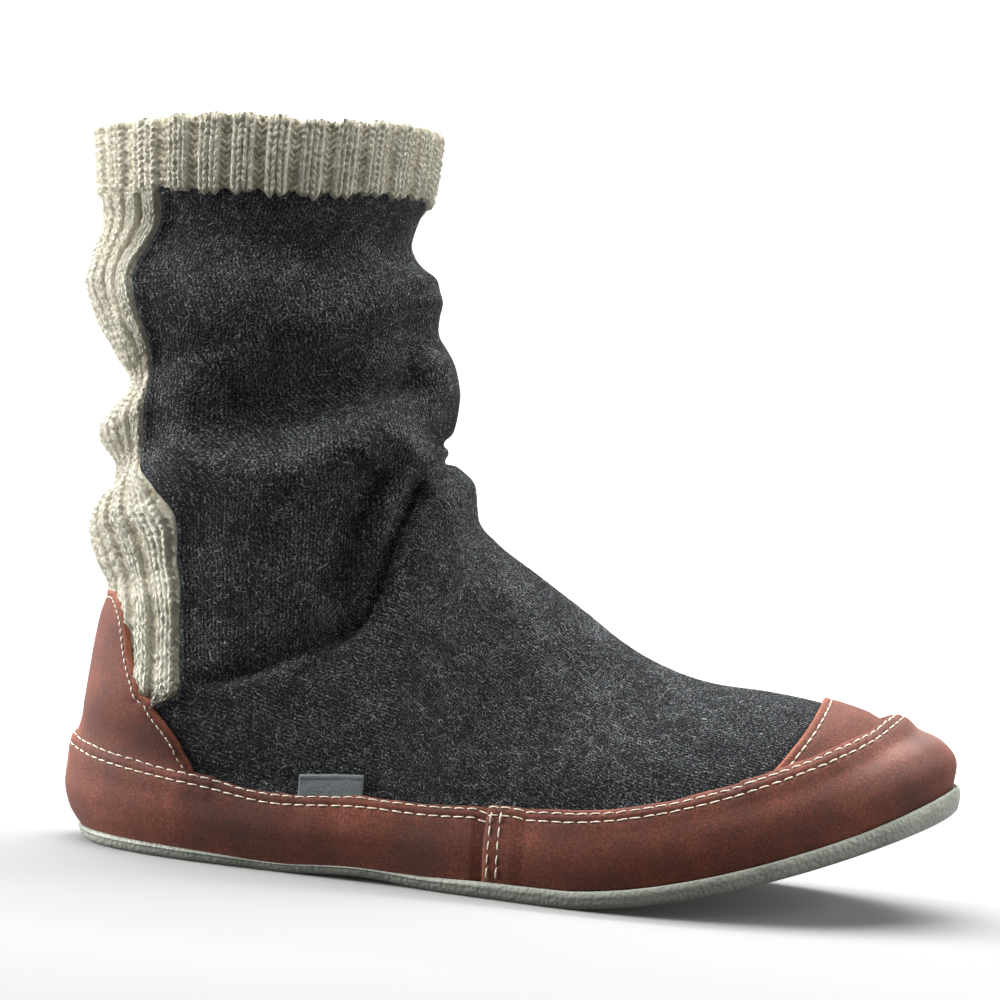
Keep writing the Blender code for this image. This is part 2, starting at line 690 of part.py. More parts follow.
def build_outsole(finish):
    """The cup sole: flat tread, rounded edge, a lip outside the rand and the plate inside it."""
    feather = plan_ring(np.zeros(AROUND))
    lip_share = edge(share_of_length(feather[:, 0]), "lip")
    rand_face = CURVE_GAP + RAND_WALL + EDGE_GAP + LIP_CLEARANCE * lip_share

    rings = []
    for inset, level, above in SOLE_RINGS:
        flat = plan_ring(rand_face + LIP_WALL - inset)
        x = flat[:, 0]
        heights = {
            "tread": sole_bottom(x),
            "lip": sole_top(x) + LIP_MAX * edge(share_of_length(x), "lip"),
            "top": sole_top(x),
        }
        rings.append(np.column_stack([flat, heights[level] + above]))
    return stacked_body("outsole", rings, finish)


def build_insole(finish):
    """The footbed, inside the wall of the upper."""
    way = np.arange(AROUND) / AROUND
    rings = []
    for number, inset, up in INSOLE_RINGS:
        wall = skin(way, number, -(KNIT_WALL + inset))
        wall[:, 2] = sole_top(wall[:, 0]) + CURVE_GAP + up * INSOLE_THICK
        rings.append(wall)
    return stacked_body("insole", rings, finish)


def main():
    for old in list(bpy.data.objects):
        bpy.data.objects.remove(old, do_unlink=True)
    charcoal = material("charcoal_wool_knit", (0.035, 0.038, 0.044), 0.95)
    cream = material("cream_ragg_wool_rib", (0.46, 0.42, 0.34), 0.92)
    suede = material("red_brown_suede", (0.135, 0.042, 0.030), 0.80)
    rubber = material("grey_green_rubber", (0.22, 0.24, 0.21), 0.60)
    fleece = material("grey_footbed_fleece", (0.16, 0.16, 0.16), 0.95)
    woven = material("grey_woven_tape", (0.13, 0.14, 0.145), 0.80)
    build_outsole(rubber)
    build_insole(fleece)
    build_upper(charcoal)
    build_back_panel(cream)
    build_cuff(cream)
    build_counter(suede)
    build_toe_cap(suede)
    build_rands(suede)
    build_tab(woven)


main()
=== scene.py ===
"""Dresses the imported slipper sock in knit, suede, stitching and rubber.

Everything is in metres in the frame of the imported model: toe along +X, outer side of the foot
along -Y, floor at z = 0. Each piece is a surface worked out with numpy from the shoe's own sizes.
"""

# %% [markdown]
# # A slouched slipper sock
# The shoe is a wool sock on a rubber sole. The imported model gives the main forms, and this lesson
# puts the cloth, leather and thread on them. First the frame is loaded.

import bpy
import numpy as np
from mathutils import Matrix


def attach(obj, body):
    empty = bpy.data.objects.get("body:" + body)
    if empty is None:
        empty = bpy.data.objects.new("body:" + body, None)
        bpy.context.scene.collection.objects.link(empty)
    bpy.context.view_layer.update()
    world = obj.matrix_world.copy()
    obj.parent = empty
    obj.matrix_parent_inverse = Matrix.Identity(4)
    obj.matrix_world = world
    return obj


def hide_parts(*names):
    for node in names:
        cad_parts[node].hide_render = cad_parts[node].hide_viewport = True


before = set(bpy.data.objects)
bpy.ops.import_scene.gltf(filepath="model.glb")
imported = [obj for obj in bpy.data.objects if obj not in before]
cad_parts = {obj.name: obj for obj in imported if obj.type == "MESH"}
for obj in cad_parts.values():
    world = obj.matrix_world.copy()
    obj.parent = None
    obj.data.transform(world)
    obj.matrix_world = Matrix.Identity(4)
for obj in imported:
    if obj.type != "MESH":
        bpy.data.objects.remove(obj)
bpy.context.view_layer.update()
print("packed nodes:", sorted(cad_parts))

# %% [markdown]
# ## Camera
# The photograph looks level at the outer side, from 10 degrees toward the toe. It is rolled by
# 4 degrees, so that the standing shoe lies in the picture as it does there. The lens is long, as in
# catalogue work, which keeps heel and toe nearly the same size.

# %% Camera
TURN = np.radians(10)
ROLL = np.radians(4.2)
CAMERA_DISTANCE = 0.75
AIM = np.array([-0.0039, 0.0, 0.1142])
LENS_MM = 88.56
SENSOR_MM = 36
NEAREST_SEEN = 0.01
UPRIGHT = np.array([0, 0, 1])


def pose(right, above, back, place):
    """The matrix of an object from its three axes and its place."""
    made = np.eye(4)
    made[:3] = np.column_stack([right, above, back, place])
    return Matrix(made.tolist())


lens = bpy.data.cameras.new("camera")
lens.lens, lens.sensor_width, lens.clip_start = LENS_MM, SENSOR_MM, NEAREST_SEEN
camera = bpy.data.objects.new("camera", lens)
level = np.array([np.cos(TURN), np.sin(TURN), 0])
backward = np.array([np.sin(TURN), -np.cos(TURN), 0])
rolled = level * np.cos(ROLL) + UPRIGHT * np.sin(ROLL)
place = AIM + CAMERA_DISTANCE * backward
camera.matrix_world = pose(
    rolled, UPRIGHT * np.cos(ROLL) - level * np.sin(ROLL), backward, place)
bpy.context.scene.collection.objects.link(camera)
bpy.context.scene.camera = camera
print("camera at", np.round(place, 3))

# %% [markdown]
# ## The last as a function of two numbers
# A shoemaker works over a last. Here the last is a stack of closed rings: v counts the rings from
# the feather line at the sole to the rim, and u goes round a ring from the centre back over the
# outer side. The tables hold shares of the named sizes, and a smooth curve joins their rows.

# %% Sizes and tables of the last
LENGTH = 0.274
BALL_WIDTH = 0.096
HEEL_X = -(LENGTH - 0.0036) / 2
COUNTER_RISE = 0.0475
INSTEP_RISE = 0.1065
BACK_RISE = 0.1865
FRONT_RISE = 0.199
TOE_SPRING = 0.031
ARCH_LIFT = 0.0012
HEEL_ROLL = 0.003
BALL_AT = 0.607
WAIST_AT = (0.28, 0.47)
HEEL_ROLL_SHARE = 0.075
SOLE_THICK = 0.0042
RAND_HEIGHT = 0.0195
GAP = 0.0006
KNIT_WALL = 0.0024

PLAN_COLUMNS = ("at", "full", "centre")
PLAN = np.array((
    (0.00, 0.970, 0.000),
    (0.10, 0.940, 0.000),
    (0.20, 0.865, -0.003),
    (0.30, 0.800, -0.012),
    (0.40, 0.775, -0.026),
    (0.50, 0.830, -0.034),
    (0.60, 0.965, -0.030),
    (0.70, 1.085, -0.012),
    (0.80, 1.160, 0.015),
    (0.90, 1.190, 0.048),
    (1.00, 1.190, 0.080),
))

EDGE_COLUMNS = ("at", "sole", "rand", "lip", "skirt")
EDGES = np.array((
    (0.00, 1.05, 1.38, 0.04, 0.50),
    (0.06, 1.02, 1.20, 0.00, 0.50),
    (0.12, 1.00, 1.10, -0.06, 0.55),
    (0.20, 0.95, 1.00, -0.12, 0.70),
    (0.28, 0.86, 0.89, -0.18, 0.95),
    (0.40, 0.92, 0.91, -0.14, 1.00),
    (0.52, 1.05, 0.98, 0.10, 0.10),
    (0.62, 1.12, 1.04, 0.14, 0.00),
    (0.70, 1.18, 1.07, 0.10, 0.00),
    (0.80, 1.28, 1.14, 0.08, 0.00),
    (0.90, 1.42, 1.26, 0.08, 0.00),
    (0.94, 1.50, 1.38, 0.14, 0.00),
    (1.00, 1.70, 1.43, 0.26, 0.00),
))

SECTION_COLUMNS = (
    "back_at", "back_up", "front_at", "front_up", "side_up",
    "half", "oval", "rand", "lean", "start", "tip",
)
SECTIONS = {
    "feather":     ( 0.036, 0.000, 0.987, 0.000, 0.000, 0.925, 0.00, 0.00, 1.00, 0.00, 0.00),
    "rand_low":    ( 0.017, 0.000, 0.989, 0.000, 0.000, 0.946, 0.00, 0.27, 1.00, 0.00, 0.00),
    "rand_mid":    ( 0.013, 0.000, 0.977, 0.000, 0.000, 0.950, 0.00, 0.50, 1.00, 0.00, 0.00),
    "rand_high":   ( 0.014, 0.000, 0.951, 0.000, 0.000, 0.942, 0.00, 0.75, 1.00, 0.00, 0.00),
    "rand_top":    ( 0.017, 0.000, 0.926, 0.000, 0.000, 0.923, 0.00, 1.00, 1.00, 0.10, 0.00),
    "cap_mid":     ( 0.0200, 0.042, 0.893, 0.073, 0.000, 0.908, 0.00, 1.00, 0.30, 0.20, 0.25),
    "cap_rear":    ( 0.0222, 0.084, 0.850, 0.152, 0.000, 0.902, 0.00, 1.00, 0.20, 0.25, 0.25),
    "toe_ridge":   ( 0.0238, 0.126, 0.793, 0.232, 0.000, 0.894, 0.03, 1.00, 0.15, 0.30, 0.25),
    "ball_ridge":  ( 0.0250, 0.164, 0.721, 0.309, 0.000, 0.883, 0.08, 1.00, 0.12, 0.35, 0.22),
    "vamp_low":    ( 0.0259, 0.196, 0.653, 0.408, 0.000, 0.865, 0.16, 1.00, 0.14, 0.40, 0.16),
    "vamp_mid":    ( 0.0266, 0.227, 0.589, 0.530, 0.000, 0.844, 0.28, 1.00, 0.20, 0.45, 0.10),
    "vamp_high":   ( 0.0274, 0.253, 0.530, 0.637, 0.000, 0.823, 0.42, 1.00, 0.26, 0.52, 0.06),
    "instep_low":  ( 0.0281, 0.274, 0.481, 0.726, 0.000, 0.798, 0.58, 1.00, 0.30, 0.58, 0.04),
    "instep_mid":  ( 0.0286, 0.288, 0.457, 0.792, 0.000, 0.787, 0.70, 1.00, 0.32, 0.62, 0.03),
    "instep_top":  ( 0.0290, 0.301, 0.449, 0.895, 0.000, 0.779, 0.80, 1.00, 0.33, 0.66, 0.02),
    "instep_roll": ( 0.0294, 0.314, 0.427, 0.946, 0.000, 0.774, 0.90, 1.00, 0.34, 0.70, 0.02),
    "crease":      ( 0.0298, 0.326, 0.409, 1.000, 0.000, 0.770, 1.00, 1.00, 0.35, 0.74, 0.02),
    "ankle_1":     ( 0.0323, 0.484, 0.420, 1.056, 0.000, 0.772, 1.00, 1.00, 0.40, 0.62, 0.02),
    "ankle_2":     ( 0.0355, 0.653, 0.423, 1.110, 0.000, 0.783, 1.00, 1.00, 0.50, 0.50, 0.01),
    "ankle_3":     ( 0.0400, 0.832, 0.424, 1.169, 0.000, 0.797, 1.00, 1.00, 0.62, 0.40, 0.00),
    "counter_top": ( 0.0460, 1.000, 0.420, 1.229, 0.000, 0.804, 1.00, 1.00, 0.72, 0.30, 0.00),
    "bulge_1":     ( 0.030, 1.061, 0.414, 1.279, 0.000, 0.812, 1.00, 1.00, 0.82, 0.20, 0.00),
    "bulge_2":     ( 0.017, 1.126, 0.404, 1.323, 0.000, 0.821, 1.00, 1.00, 0.90, 0.10, 0.00),
    "bulge_3":     ( 0.024, 1.183, 0.395, 1.362, 0.000, 0.821, 1.00, 1.00, 0.95, 0.00, 0.00),
    "pinch_1":     ( 0.043, 1.230, 0.392, 1.400, 0.000, 0.817, 1.00, 1.00, 1.00, 0.00, 0.00),
    "pinch_2":     ( 0.045, 1.277, 0.393, 1.438, 0.000, 0.821, 1.00, 1.00, 1.00, 0.00, 0.00),
    "bulge_4":     ( 0.021, 1.342, 0.396, 1.475, 0.000, 0.833, 1.00, 1.00, 1.00, 0.00, 0.00),
    "bulge_5":     ( 0.034, 1.392, 0.392, 1.514, 0.000, 0.829, 1.00, 1.00, 1.00, 0.00, 0.00),
    "pinch_3":     ( 0.055, 1.468, 0.389, 1.547, 0.000, 0.821, 1.00, 1.00, 1.00, 0.00, 0.00),
    "calf_1":      ( 0.034, 1.532, 0.378, 1.585, 0.000, 0.833, 1.00, 1.00, 1.00, 0.00, 0.00),
    "calf_2":      ( 0.007, 1.597, 0.367, 1.630, 0.000, 0.854, 1.00, 1.00, 1.00, 0.00, 0.00),
    "calf_3":      (-0.008, 1.665, 0.360, 1.668, 0.000, 0.858, 1.00, 1.00, 1.00, 0.00, 0.00),
    "calf_4":      (-0.001, 1.730, 0.359, 1.701, 0.000, 0.854, 1.00, 1.00, 1.00, 0.00, 0.00),
    "calf_5":      ( 0.009, 1.800, 0.362, 1.750, 0.000, 0.854, 1.00, 1.00, 1.00, 0.00, 0.00),
    "cuff_seam":   ( 0.003, 1.856, 0.369, 1.800, 0.004, 0.873, 1.00, 1.00, 1.00, 0.00, 0.00),
    "cuff_mid":    ( 0.000, 1.924, 0.371, 1.911, 0.008, 0.890, 1.00, 1.00, 1.00, 0.00, 0.00),
    "rim":         (-0.006, 1.990, 0.376, 2.012, 0.015, 0.902, 1.00, 1.00, 1.00, 0.00, 0.00),
}
NAMES = list(SECTIONS)
SECTION_ROWS = np.array(list(SECTIONS.values()))


def row(name):
    return float(NAMES.index(name))

# %% [markdown]
# The tables are read by smooth curves. A point of the last is given by its way round a ring, u from
# 0 at the back over 0.5 at the toe to 1, and by its section number v, from 0 at the feather line
# to 36 at the rim.

# %% The surface of the last
def ease(t):
    """From 0 to 1 as 3 t ** 2 - 2 t ** 3, level at both ends."""
    t = np.clip(t, 0, 1)
    return t * t * (3 - 2 * t)


def unit(vectors):
    """Vectors over the last axis, each divided by its own length."""
    return vectors / np.maximum(np.linalg.norm(vectors, axis=-1, keepdims=True), 1e-12)


def smooth_read(x, knots, values):
    """A cubic between each pair of a table's rows, which never swings past them.

    The slope at a row is the harmonic mean of the slopes on its two sides, or none at a peak.
    """
    x = np.clip(x, knots[0], knots[-1])
    steep = np.diff(values) / np.diff(knots)
    before, after = steep[:-1], steep[1:]
    both = before + after
    mean = 2 * before * after / np.where(both == 0, 1, both)
    slopes = np.concatenate([steep[:1], np.where(before * after > 0, mean, 0), steep[-1:]])
    i = np.clip(np.searchsorted(knots, x, side="right") - 1, 0, len(knots) - 2)
    step = knots[i + 1] - knots[i]
    t = (x - knots[i]) / step
    rise = values[i] * (2 * t**3 - 3 * t**2 + 1) + values[i + 1] * (3 * t**2 - 2 * t**3)
    turn = slopes[i] * (t**3 - 2 * t**2 + t) + slopes[i + 1] * (t**3 - t**2)
    return rise + step * turn


def plan(at, name):
    return smooth_read(at, PLAN[:, 0], PLAN[:, PLAN_COLUMNS.index(name)])


def edge(at, name):
    return smooth_read(at, EDGES[:, 0], EDGES[:, EDGE_COLUMNS.index(name)])


def section(v, name):
    return smooth_read(v, np.arange(len(NAMES)) * 1.0, SECTION_ROWS[:, SECTION_COLUMNS.index(name)])


def by_section(table, v):
    """Reads a table of (section name, value) at section number v, smoothly."""
    return smooth_read(v, np.array([row(r[0]) for r in table]), np.array([r[1] for r in table]))


def share_of_length(x):
    return (x - HEEL_X) / LENGTH


def last_bottom(x):
    """Level from heel to ball, lifted a little at the waist and bent up to the toe."""
    at = share_of_length(x)
    bend = np.clip((at - BALL_AT) / (1 - BALL_AT), 0, 1) ** 1.5
    arch = np.clip((at - WAIST_AT[0]) / (WAIST_AT[1] - WAIST_AT[0]), 0, 1)
    return TOE_SPRING * bend + ARCH_LIFT * np.sin(np.pi * arch) ** 2


def sole_bottom(x):
    """The tread, which rolls up a little at the back of the heel."""
    behind = np.clip(1 - share_of_length(x) / HEEL_ROLL_SHARE, 0, 1)
    return last_bottom(x) + HEEL_ROLL * behind**2


def sole_top(x):
    return last_bottom(x) + SOLE_THICK * edge(share_of_length(x), "sole")


def two_step(share, low, high):
    """A height from a share: 1 is the lower known height and 2 is the higher one."""
    return low * np.minimum(share, 1) + (high - low) * np.maximum(share - 1, 0)


def last_form(u, v):
    """A ring runs along x as (1 - cos) / 2 and along y as sin.

    From back to front it climbs as a sum of an even slope, a late tip and one eased step.
    """
    turn = 2 * np.pi * u
    share = (1 - np.cos(turn)) / 2
    back, front = section(v, "back_at"), section(v, "front_at")
    at = back + (front - back) * share
    oval = section(v, "oval")
    full = (1 - oval) * plan(at, "full") + oval
    half = section(v, "half") * BALL_WIDTH / 2
    y = (1 - oval) * plan(at, "centre") * BALL_WIDTH - half * full * np.sin(turn)
    x = HEEL_X + LENGTH * at
    lean, start, tip = section(v, "lean"), section(v, "start"), section(v, "tip")
    step = ease((share - start) / (1 - start))
    climb = lean * share + tip * share**12 + (1 - lean - tip) * step
    low = two_step(section(v, "back_up"), COUNTER_RISE, BACK_RISE)
    high = two_step(section(v, "front_up"), INSTEP_RISE, FRONT_RISE)
    rand = section(v, "rand") * RAND_HEIGHT * edge(at, "rand")
    sides = section(v, "side_up") * FRONT_RISE * np.sin(turn) ** 2
    z = sole_top(x) + GAP + rand + low + (high - low) * climb + sides
    return np.stack([x, y, z], axis=-1)


def outward(u, v, step=1e-3):
    """Unit normals of the last: the way round crossed with the way up."""
    along = last_form(u + step, v) - last_form(u - step, v)
    up = last_form(u, np.minimum(v + step, len(NAMES) - 1)) - last_form(u, np.maximum(v - step, 0))
    return unit(np.cross(along, up))


print("rings of the last:", len(NAMES))

# %% [markdown]
# ## Folds of the slouched shaft
# A soft wool shaft sinks down over the ankle. It makes one deep valley where the shaft meets the
# foot, a lip above it, and lazy bulges higher up. Cloth simulation would fold it somewhere else
# than on this shoe, so each fold is a line drawn in side view, as shares of length and
# front height. It pushes the wall in or out with a bell-shaped profile.

# %% Folds
# name: (side, width above, width below, depth inward, line)
# Above is the left of the line as it is drawn; side -1 is the outer side, 1 the inner, 0 both.
FOLDS = {
    "mitre valley": (0, 0.0036, 0.0020, 0.0036, (
        (0.165, 0.250), (0.198, 0.268), (0.241, 0.289), (0.292, 0.323), (0.344, 0.361),
        (0.361, 0.385), (0.369, 0.420), (0.377, 0.474), (0.385, 0.545), (0.402, 0.603),
        (0.418, 0.630), (0.428, 0.655))),
    "tuck above it": (0, 0.0150, 0.0020, 0.0008, (
        (0.165, 0.252), (0.241, 0.291), (0.292, 0.325), (0.342, 0.361), (0.360, 0.390))),
    "lip": (0, 0.0021, 0.0020, -0.0042, (
        (0.340, 0.400), (0.355, 0.460), (0.364, 0.510), (0.369, 0.554), (0.382, 0.598),
        (0.400, 0.630), (0.414, 0.652))),
    "pocket": (-1, 0.0120, 0.0024, 0.0048, (
        (0.320, 0.385), (0.335, 0.440), (0.344, 0.495), (0.351, 0.540), (0.360, 0.580),
        (0.373, 0.612))),
    "under the ridge": (-1, 0.0065, 0.0150, 0.0034, (
        (0.262, 0.515), (0.300, 0.546), (0.335, 0.580), (0.362, 0.606), (0.390, 0.638))),
    "ridge": (-1, 0.0100, 0.0200, -0.0046, (
        (0.060, 0.590), (0.195, 0.590), (0.239, 0.586), (0.279, 0.597), (0.320, 0.615),
        (0.359, 0.645), (0.400, 0.690))),
    "long hollow": (-1, 0.0210, 0.0085, 0.0086, (
        (0.150, 0.652), (0.200, 0.650), (0.239, 0.658), (0.279, 0.682), (0.320, 0.705),
        (0.359, 0.726), (0.395, 0.740), (0.425, 0.750))),
    "sharp crease": (-1, 0.0070, 0.0030, 0.0026, (
        (0.270, 0.684), (0.300, 0.700), (0.328, 0.715), (0.357, 0.729), (0.385, 0.740),
        (0.418, 0.753))),
    "upper swell": (-1, 0.0170, 0.0150, -0.0028, (
        (0.040, 0.816), (0.110, 0.814), (0.200, 0.814), (0.300, 0.824), (0.400, 0.836))),
    "under the cuff": (0, 0.0080, 0.0130, 0.0032, (
        (0.060, 0.935), (0.200, 0.926), (0.300, 0.922), (0.395, 0.926))),
    "instep tuck": (0, 0.0030, 0.0030, 0.0020, (
        (0.384, 0.518), (0.400, 0.548), (0.414, 0.580), (0.417, 0.613))),
    "inner hollow": (1, 0.0140, 0.0070, 0.0060, (
        (0.060, 0.535), (0.130, 0.545), (0.200, 0.560), (0.290, 0.600), (0.360, 0.650),
        (0.410, 0.690))),
    "inner ridge": (1, 0.0100, 0.0130, -0.0036, (
        (0.100, 0.500), (0.200, 0.512), (0.290, 0.548), (0.350, 0.590))),
    "inner second hollow": (1, 0.0160, 0.0080, 0.0056, (
        (0.060, 0.750), (0.120, 0.738), (0.200, 0.732), (0.290, 0.742), (0.350, 0.758),
        (0.400, 0.780))),
    "inner swell": (1, 0.0120, 0.0120, -0.0026, (
        (0.060, 0.842), (0.200, 0.836), (0.300, 0.842), (0.400, 0.856))),
}
FADE_SHARE = 0.14
MIDDLE_SHARE = 0.16
NOISE_CELLS = 64


def fold_depth(points):
    """Sum over the folds of depth * exp(-(distance / width) ** 2), eased out at a line's ends.

    The width differs on the two sides of a line, which makes one slope of a fold steep. A fold of
    one side of the foot is eased out over the middle.
    """
    place = np.stack([points[..., 0] - HEEL_X, points[..., 2]], axis=-1)
    total = np.zeros(place.shape[:-1])
    for side, above_wide, below_wide, deep, line in FOLDS.values():
        knots = np.array(line) * (LENGTH, FRONT_RISE)
        nearest = np.full(total.shape, np.inf)
        along = np.zeros(total.shape)
        wide = np.zeros(total.shape)
        for k, (a, b) in enumerate(zip(knots, knots[1:])):
            t = np.clip((place - a) @ (b - a) / ((b - a) @ (b - a)), 0, 1)
            off = place - a - t[..., None] * (b - a)
            away = np.linalg.norm(off, axis=-1)
            left = (b - a)[0] * off[..., 1] - (b - a)[1] * off[..., 0] > 0
            along = np.where(away < nearest, (k + t) / (len(knots) - 1), along)
            wide = np.where(away < nearest, np.where(left, above_wide, below_wide), wide)
            nearest = np.minimum(away, nearest)
        amount = deep * np.exp(-((nearest / wide) ** 2))
        amount = amount * ease(np.minimum(along, 1 - along) / FADE_SHARE)
        if side:
            amount = amount * ease(points[..., 1] * side / (MIDDLE_SHARE * BALL_WIDTH))
        total += amount
    return total


def skin(u, v, offset=0.0):
    """The last with its folds, moved outward by offset."""
    u, v, offset = np.broadcast_arrays(np.asarray(u, float), np.asarray(v, float), offset)
    points = last_form(u, v)
    return points + outward(u, v) * (offset - fold_depth(points))[..., None]


def soft_noise(x, y, seed):
    """Random values on whole numbers, from -1 to 1, eased between them in both directions."""
    table = np.random.default_rng(seed).uniform(-1, 1, (NOISE_CELLS, NOISE_CELLS))
    i, j = np.floor(x).astype(int), np.floor(y).astype(int)
    a, b = ease(x - i), ease(y - j)

    def beside(right, up):
        return table[(i + right) % NOISE_CELLS, (j + up) % NOISE_CELLS]

    low, high = (beside(0, up) * (1 - a) + beside(1, up) * a for up in (0, 1))
    return low * (1 - b) + high * b

# %% [markdown]
# ## From grids to pieces
# Every sheet of cloth or leather has two faces. A piece is therefore two grids of points, one
# outside and one inside, joined round their free edges, which gives a closed wall. The numbers go
# into the mesh as whole arrays.

# %% Mesh helpers
def closed_round(grid):
    """A grid with its first column once more at the end."""
    return np.concatenate([grid, grid[:, :1]], axis=1)


def grid_quads(index):
    """One quad for each cell of a grid of point numbers, or of a stack of grids."""
    corners = [index[..., :-1, :-1], index[..., :-1, 1:], index[..., 1:, 1:], index[..., 1:, :-1]]
    return np.stack(corners, axis=-1).reshape(-1, 4)


def wall_quads(rows, columns, cells):
    """Quads of an outer ring grid, of the inner grid turned round, and of a strip along each edge.

    cells says which quads exist, so that a wall can have an opening.
    """
    index = np.arange(rows * columns).reshape(rows, columns)
    quads = grid_quads(closed_round(index)).reshape(*cells.shape, 4)
    around = np.pad(cells, 1)
    around[1:-1, 0], around[1:-1, -1] = cells[:, -1], cells[:, 0]
    shift = rows * columns
    outer = quads[cells]
    walls = [outer, outer[:, ::-1] + shift]
    high, wide = cells.shape
    # each row: where the neighbour lies, and the two corners of the edge on that side
    for down, across, first, second in ((-1, 0, 0, 1), (1, 0, 2, 3), (0, 1, 1, 2), (0, -1, 3, 0)):
        beside = around[1 + down : 1 + down + high, 1 + across : 1 + across + wide]
        free = quads[cells & ~beside]
        a, b = free[:, first], free[:, second]
        walls.append(np.stack([b, a, a + shift, b + shift], axis=1))
    return np.concatenate(walls)


def make_piece(name, points, faces, finish, slot, nodes=(), uv=None, values=None):
    """A smooth mesh object at the origin, riding on the shoe. faces are arrays, one row a face."""
    corners = np.concatenate([f.ravel() for f in faces])
    sizes = np.concatenate([np.full(len(f), f.shape[1]) for f in faces])
    mesh = bpy.data.meshes.new(name)
    mesh.vertices.add(len(points))
    mesh.vertices.foreach_set("co", points.astype(np.float32).ravel())
    mesh.loops.add(len(corners))
    mesh.loops.foreach_set("vertex_index", corners.astype(np.int32))
    mesh.polygons.add(len(sizes))
    mesh.polygons.foreach_set("loop_start", (np.cumsum(sizes) - sizes).astype(np.int32))
    mesh.update(calc_edges=True)
    if uv is not None:
        mesh.uv_layers.new(name="yarn").data.foreach_set("uv", uv.astype(np.float32).ravel())
    for key, value in (values or {}).items():
        layer = mesh.attributes.new(key, "FLOAT", "POINT")
        layer.data.foreach_set("value", value.astype(np.float32).ravel())
    mesh.shade_smooth()
    mesh.materials.append(finish)
    made = bpy.data.objects.new(name, mesh)
    bpy.context.scene.collection.objects.link(made)
    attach(made, "root")
    if nodes:
        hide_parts(*nodes)
    print(f"{name}: {int((sizes - 2).sum())} triangles")
    return made


def strips(fine, coarse, stride, turned):
    """Faces between a fine edge and the coarse edge under it, one for each coarse step."""
    runs = fine[np.arange(0, len(fine) - 1, stride)[:, None] + np.arange(stride + 1)]
    made = np.concatenate([runs, np.stack([coarse[1:], coarse[:-1]], axis=1)], axis=1)
    return made[:, ::-1] if turned else made


def make_wall(name, outer, inner, finish, slot, node, closed=False, stride=1, uv=None,
              values=None):
    """A closed wall from two grids, of which the inner one is thinned to every stride-th point."""
    under = inner[::stride, ::stride]
    grids = []
    for grid, first in ((outer, 0), (under, outer[..., 0].size)):
        index = np.arange(grid[..., 0].size).reshape(grid.shape[:2]) + first
        grids.append(closed_round(index) if closed else index)
    top, low = grids
    faces = [grid_quads(top), grid_quads(low)[:, ::-1]]
    edges = [(top[0], low[0], True), (top[-1], low[-1], False)]
    if not closed:
        edges += [(top[:, -1], low[:, -1], True), (top[:, 0], low[:, 0], False)]
    faces += [strips(fine, coarse, stride, turned) for fine, coarse, turned in edges]
    points = np.concatenate([outer.reshape(-1, 3), under.reshape(-1, 3)])
    values = {
        key: np.concatenate([value.ravel(), value[::stride, ::stride].ravel()])
        for key, value in (values or {}).items()
    }
    if uv is not None:
        uv = np.concatenate([uv.reshape(-1, 2), uv[::stride, ::stride].reshape(-1, 2)])
        uv = uv[np.concatenate([f.ravel() for f in faces])]
    return make_piece(name, points, faces, finish, slot, (node,), uv, values)


def grid_normals(grid, closed=False):
    """Unit normals of a grid of points, from the differences to its neighbours."""
    if closed:
        along = np.roll(grid, -1, axis=1) - np.roll(grid, 1, axis=1)
    else:
        along = np.gradient(grid, axis=1)
    return unit(np.cross(along, np.gradient(grid, axis=0)))


def run_length(grid, axis):
    """Length along a grid's rows (axis 1) or columns (axis 0) from its first point."""
    steps = np.linalg.norm(np.diff(grid, axis=axis), axis=-1)
    lead = [(0, 0), (0, 0)]
    lead[axis] = (1, 0)
    return np.pad(np.cumsum(steps, axis=axis), lead)


def path_length(line):
    """Length along a single line of points."""
    return run_length(line[None], 1)[0]

# %% [markdown]
# ## Colours and nodes
# Colours are written as they look on a screen, in hex, and one function turns them linear. One
# function adds a node, whatever its kind.

# %% Node helpers
def linear(code, alpha=1.0):
    """Hex sRGB to linear: ((c + 0.055) / 1.055) ** 2.4, or c / 12.92 for the darkest."""
    c = np.array([int(code[i : i + 2], 16) / 255 for i in (1, 3, 5)])
    c = np.where(c <= 0.04045, c / 12.92, ((c + 0.055) / 1.055) ** 2.4)
    return (*c.tolist(), alpha)


def add(tree, kind, *inputs, output=0, stops=(), **settings):
    """Adds one shader node and returns one of its outputs.

    inputs fill its sockets in order. settings are its properties, or else its sockets by name,
    with _ for a space. stops are the (position, hex) of a colour ramp.
    """
    made = tree.nodes.new("ShaderNode" + kind)
    sockets = dict(enumerate(inputs))
    for key, value in settings.items():
        if hasattr(made, key):
            setattr(made, key, value)
        else:
            sockets[key.replace("_", " ")] = value
    for key, value in sockets.items():
        if isinstance(value, bpy.types.NodeSocket):
            tree.links.new(value, made.inputs[key])
        else:
            made.inputs[key].default_value = value
    if stops:
        band = made.color_ramp.elements
        for end in (0, -1):
            band[end].position, band[end].color = stops[end][0], linear(stops[end][1])
        for position, code in stops[1:-1]:
            band.new(position).color = linear(code)
    return made.outputs[output]


def new_material(name, **sockets):
    """A Principled material. Sockets are given by name, with _ for a space."""
    made = bpy.data.materials.new(name)
    made.use_nodes = True
    shader = made.node_tree.nodes["Principled BSDF"]
    for key, value in sockets.items():
        shader.inputs[key.replace("_", " ")].default_value = value
    return made, made.node_tree, shader


def finish_with(tree, shader, **sources):
    """Links outputs to the shader's sockets, given by name with _ for a space."""
    for key, value in sources.items():
        tree.links.new(value, shader.inputs[key.replace("_", " ")])


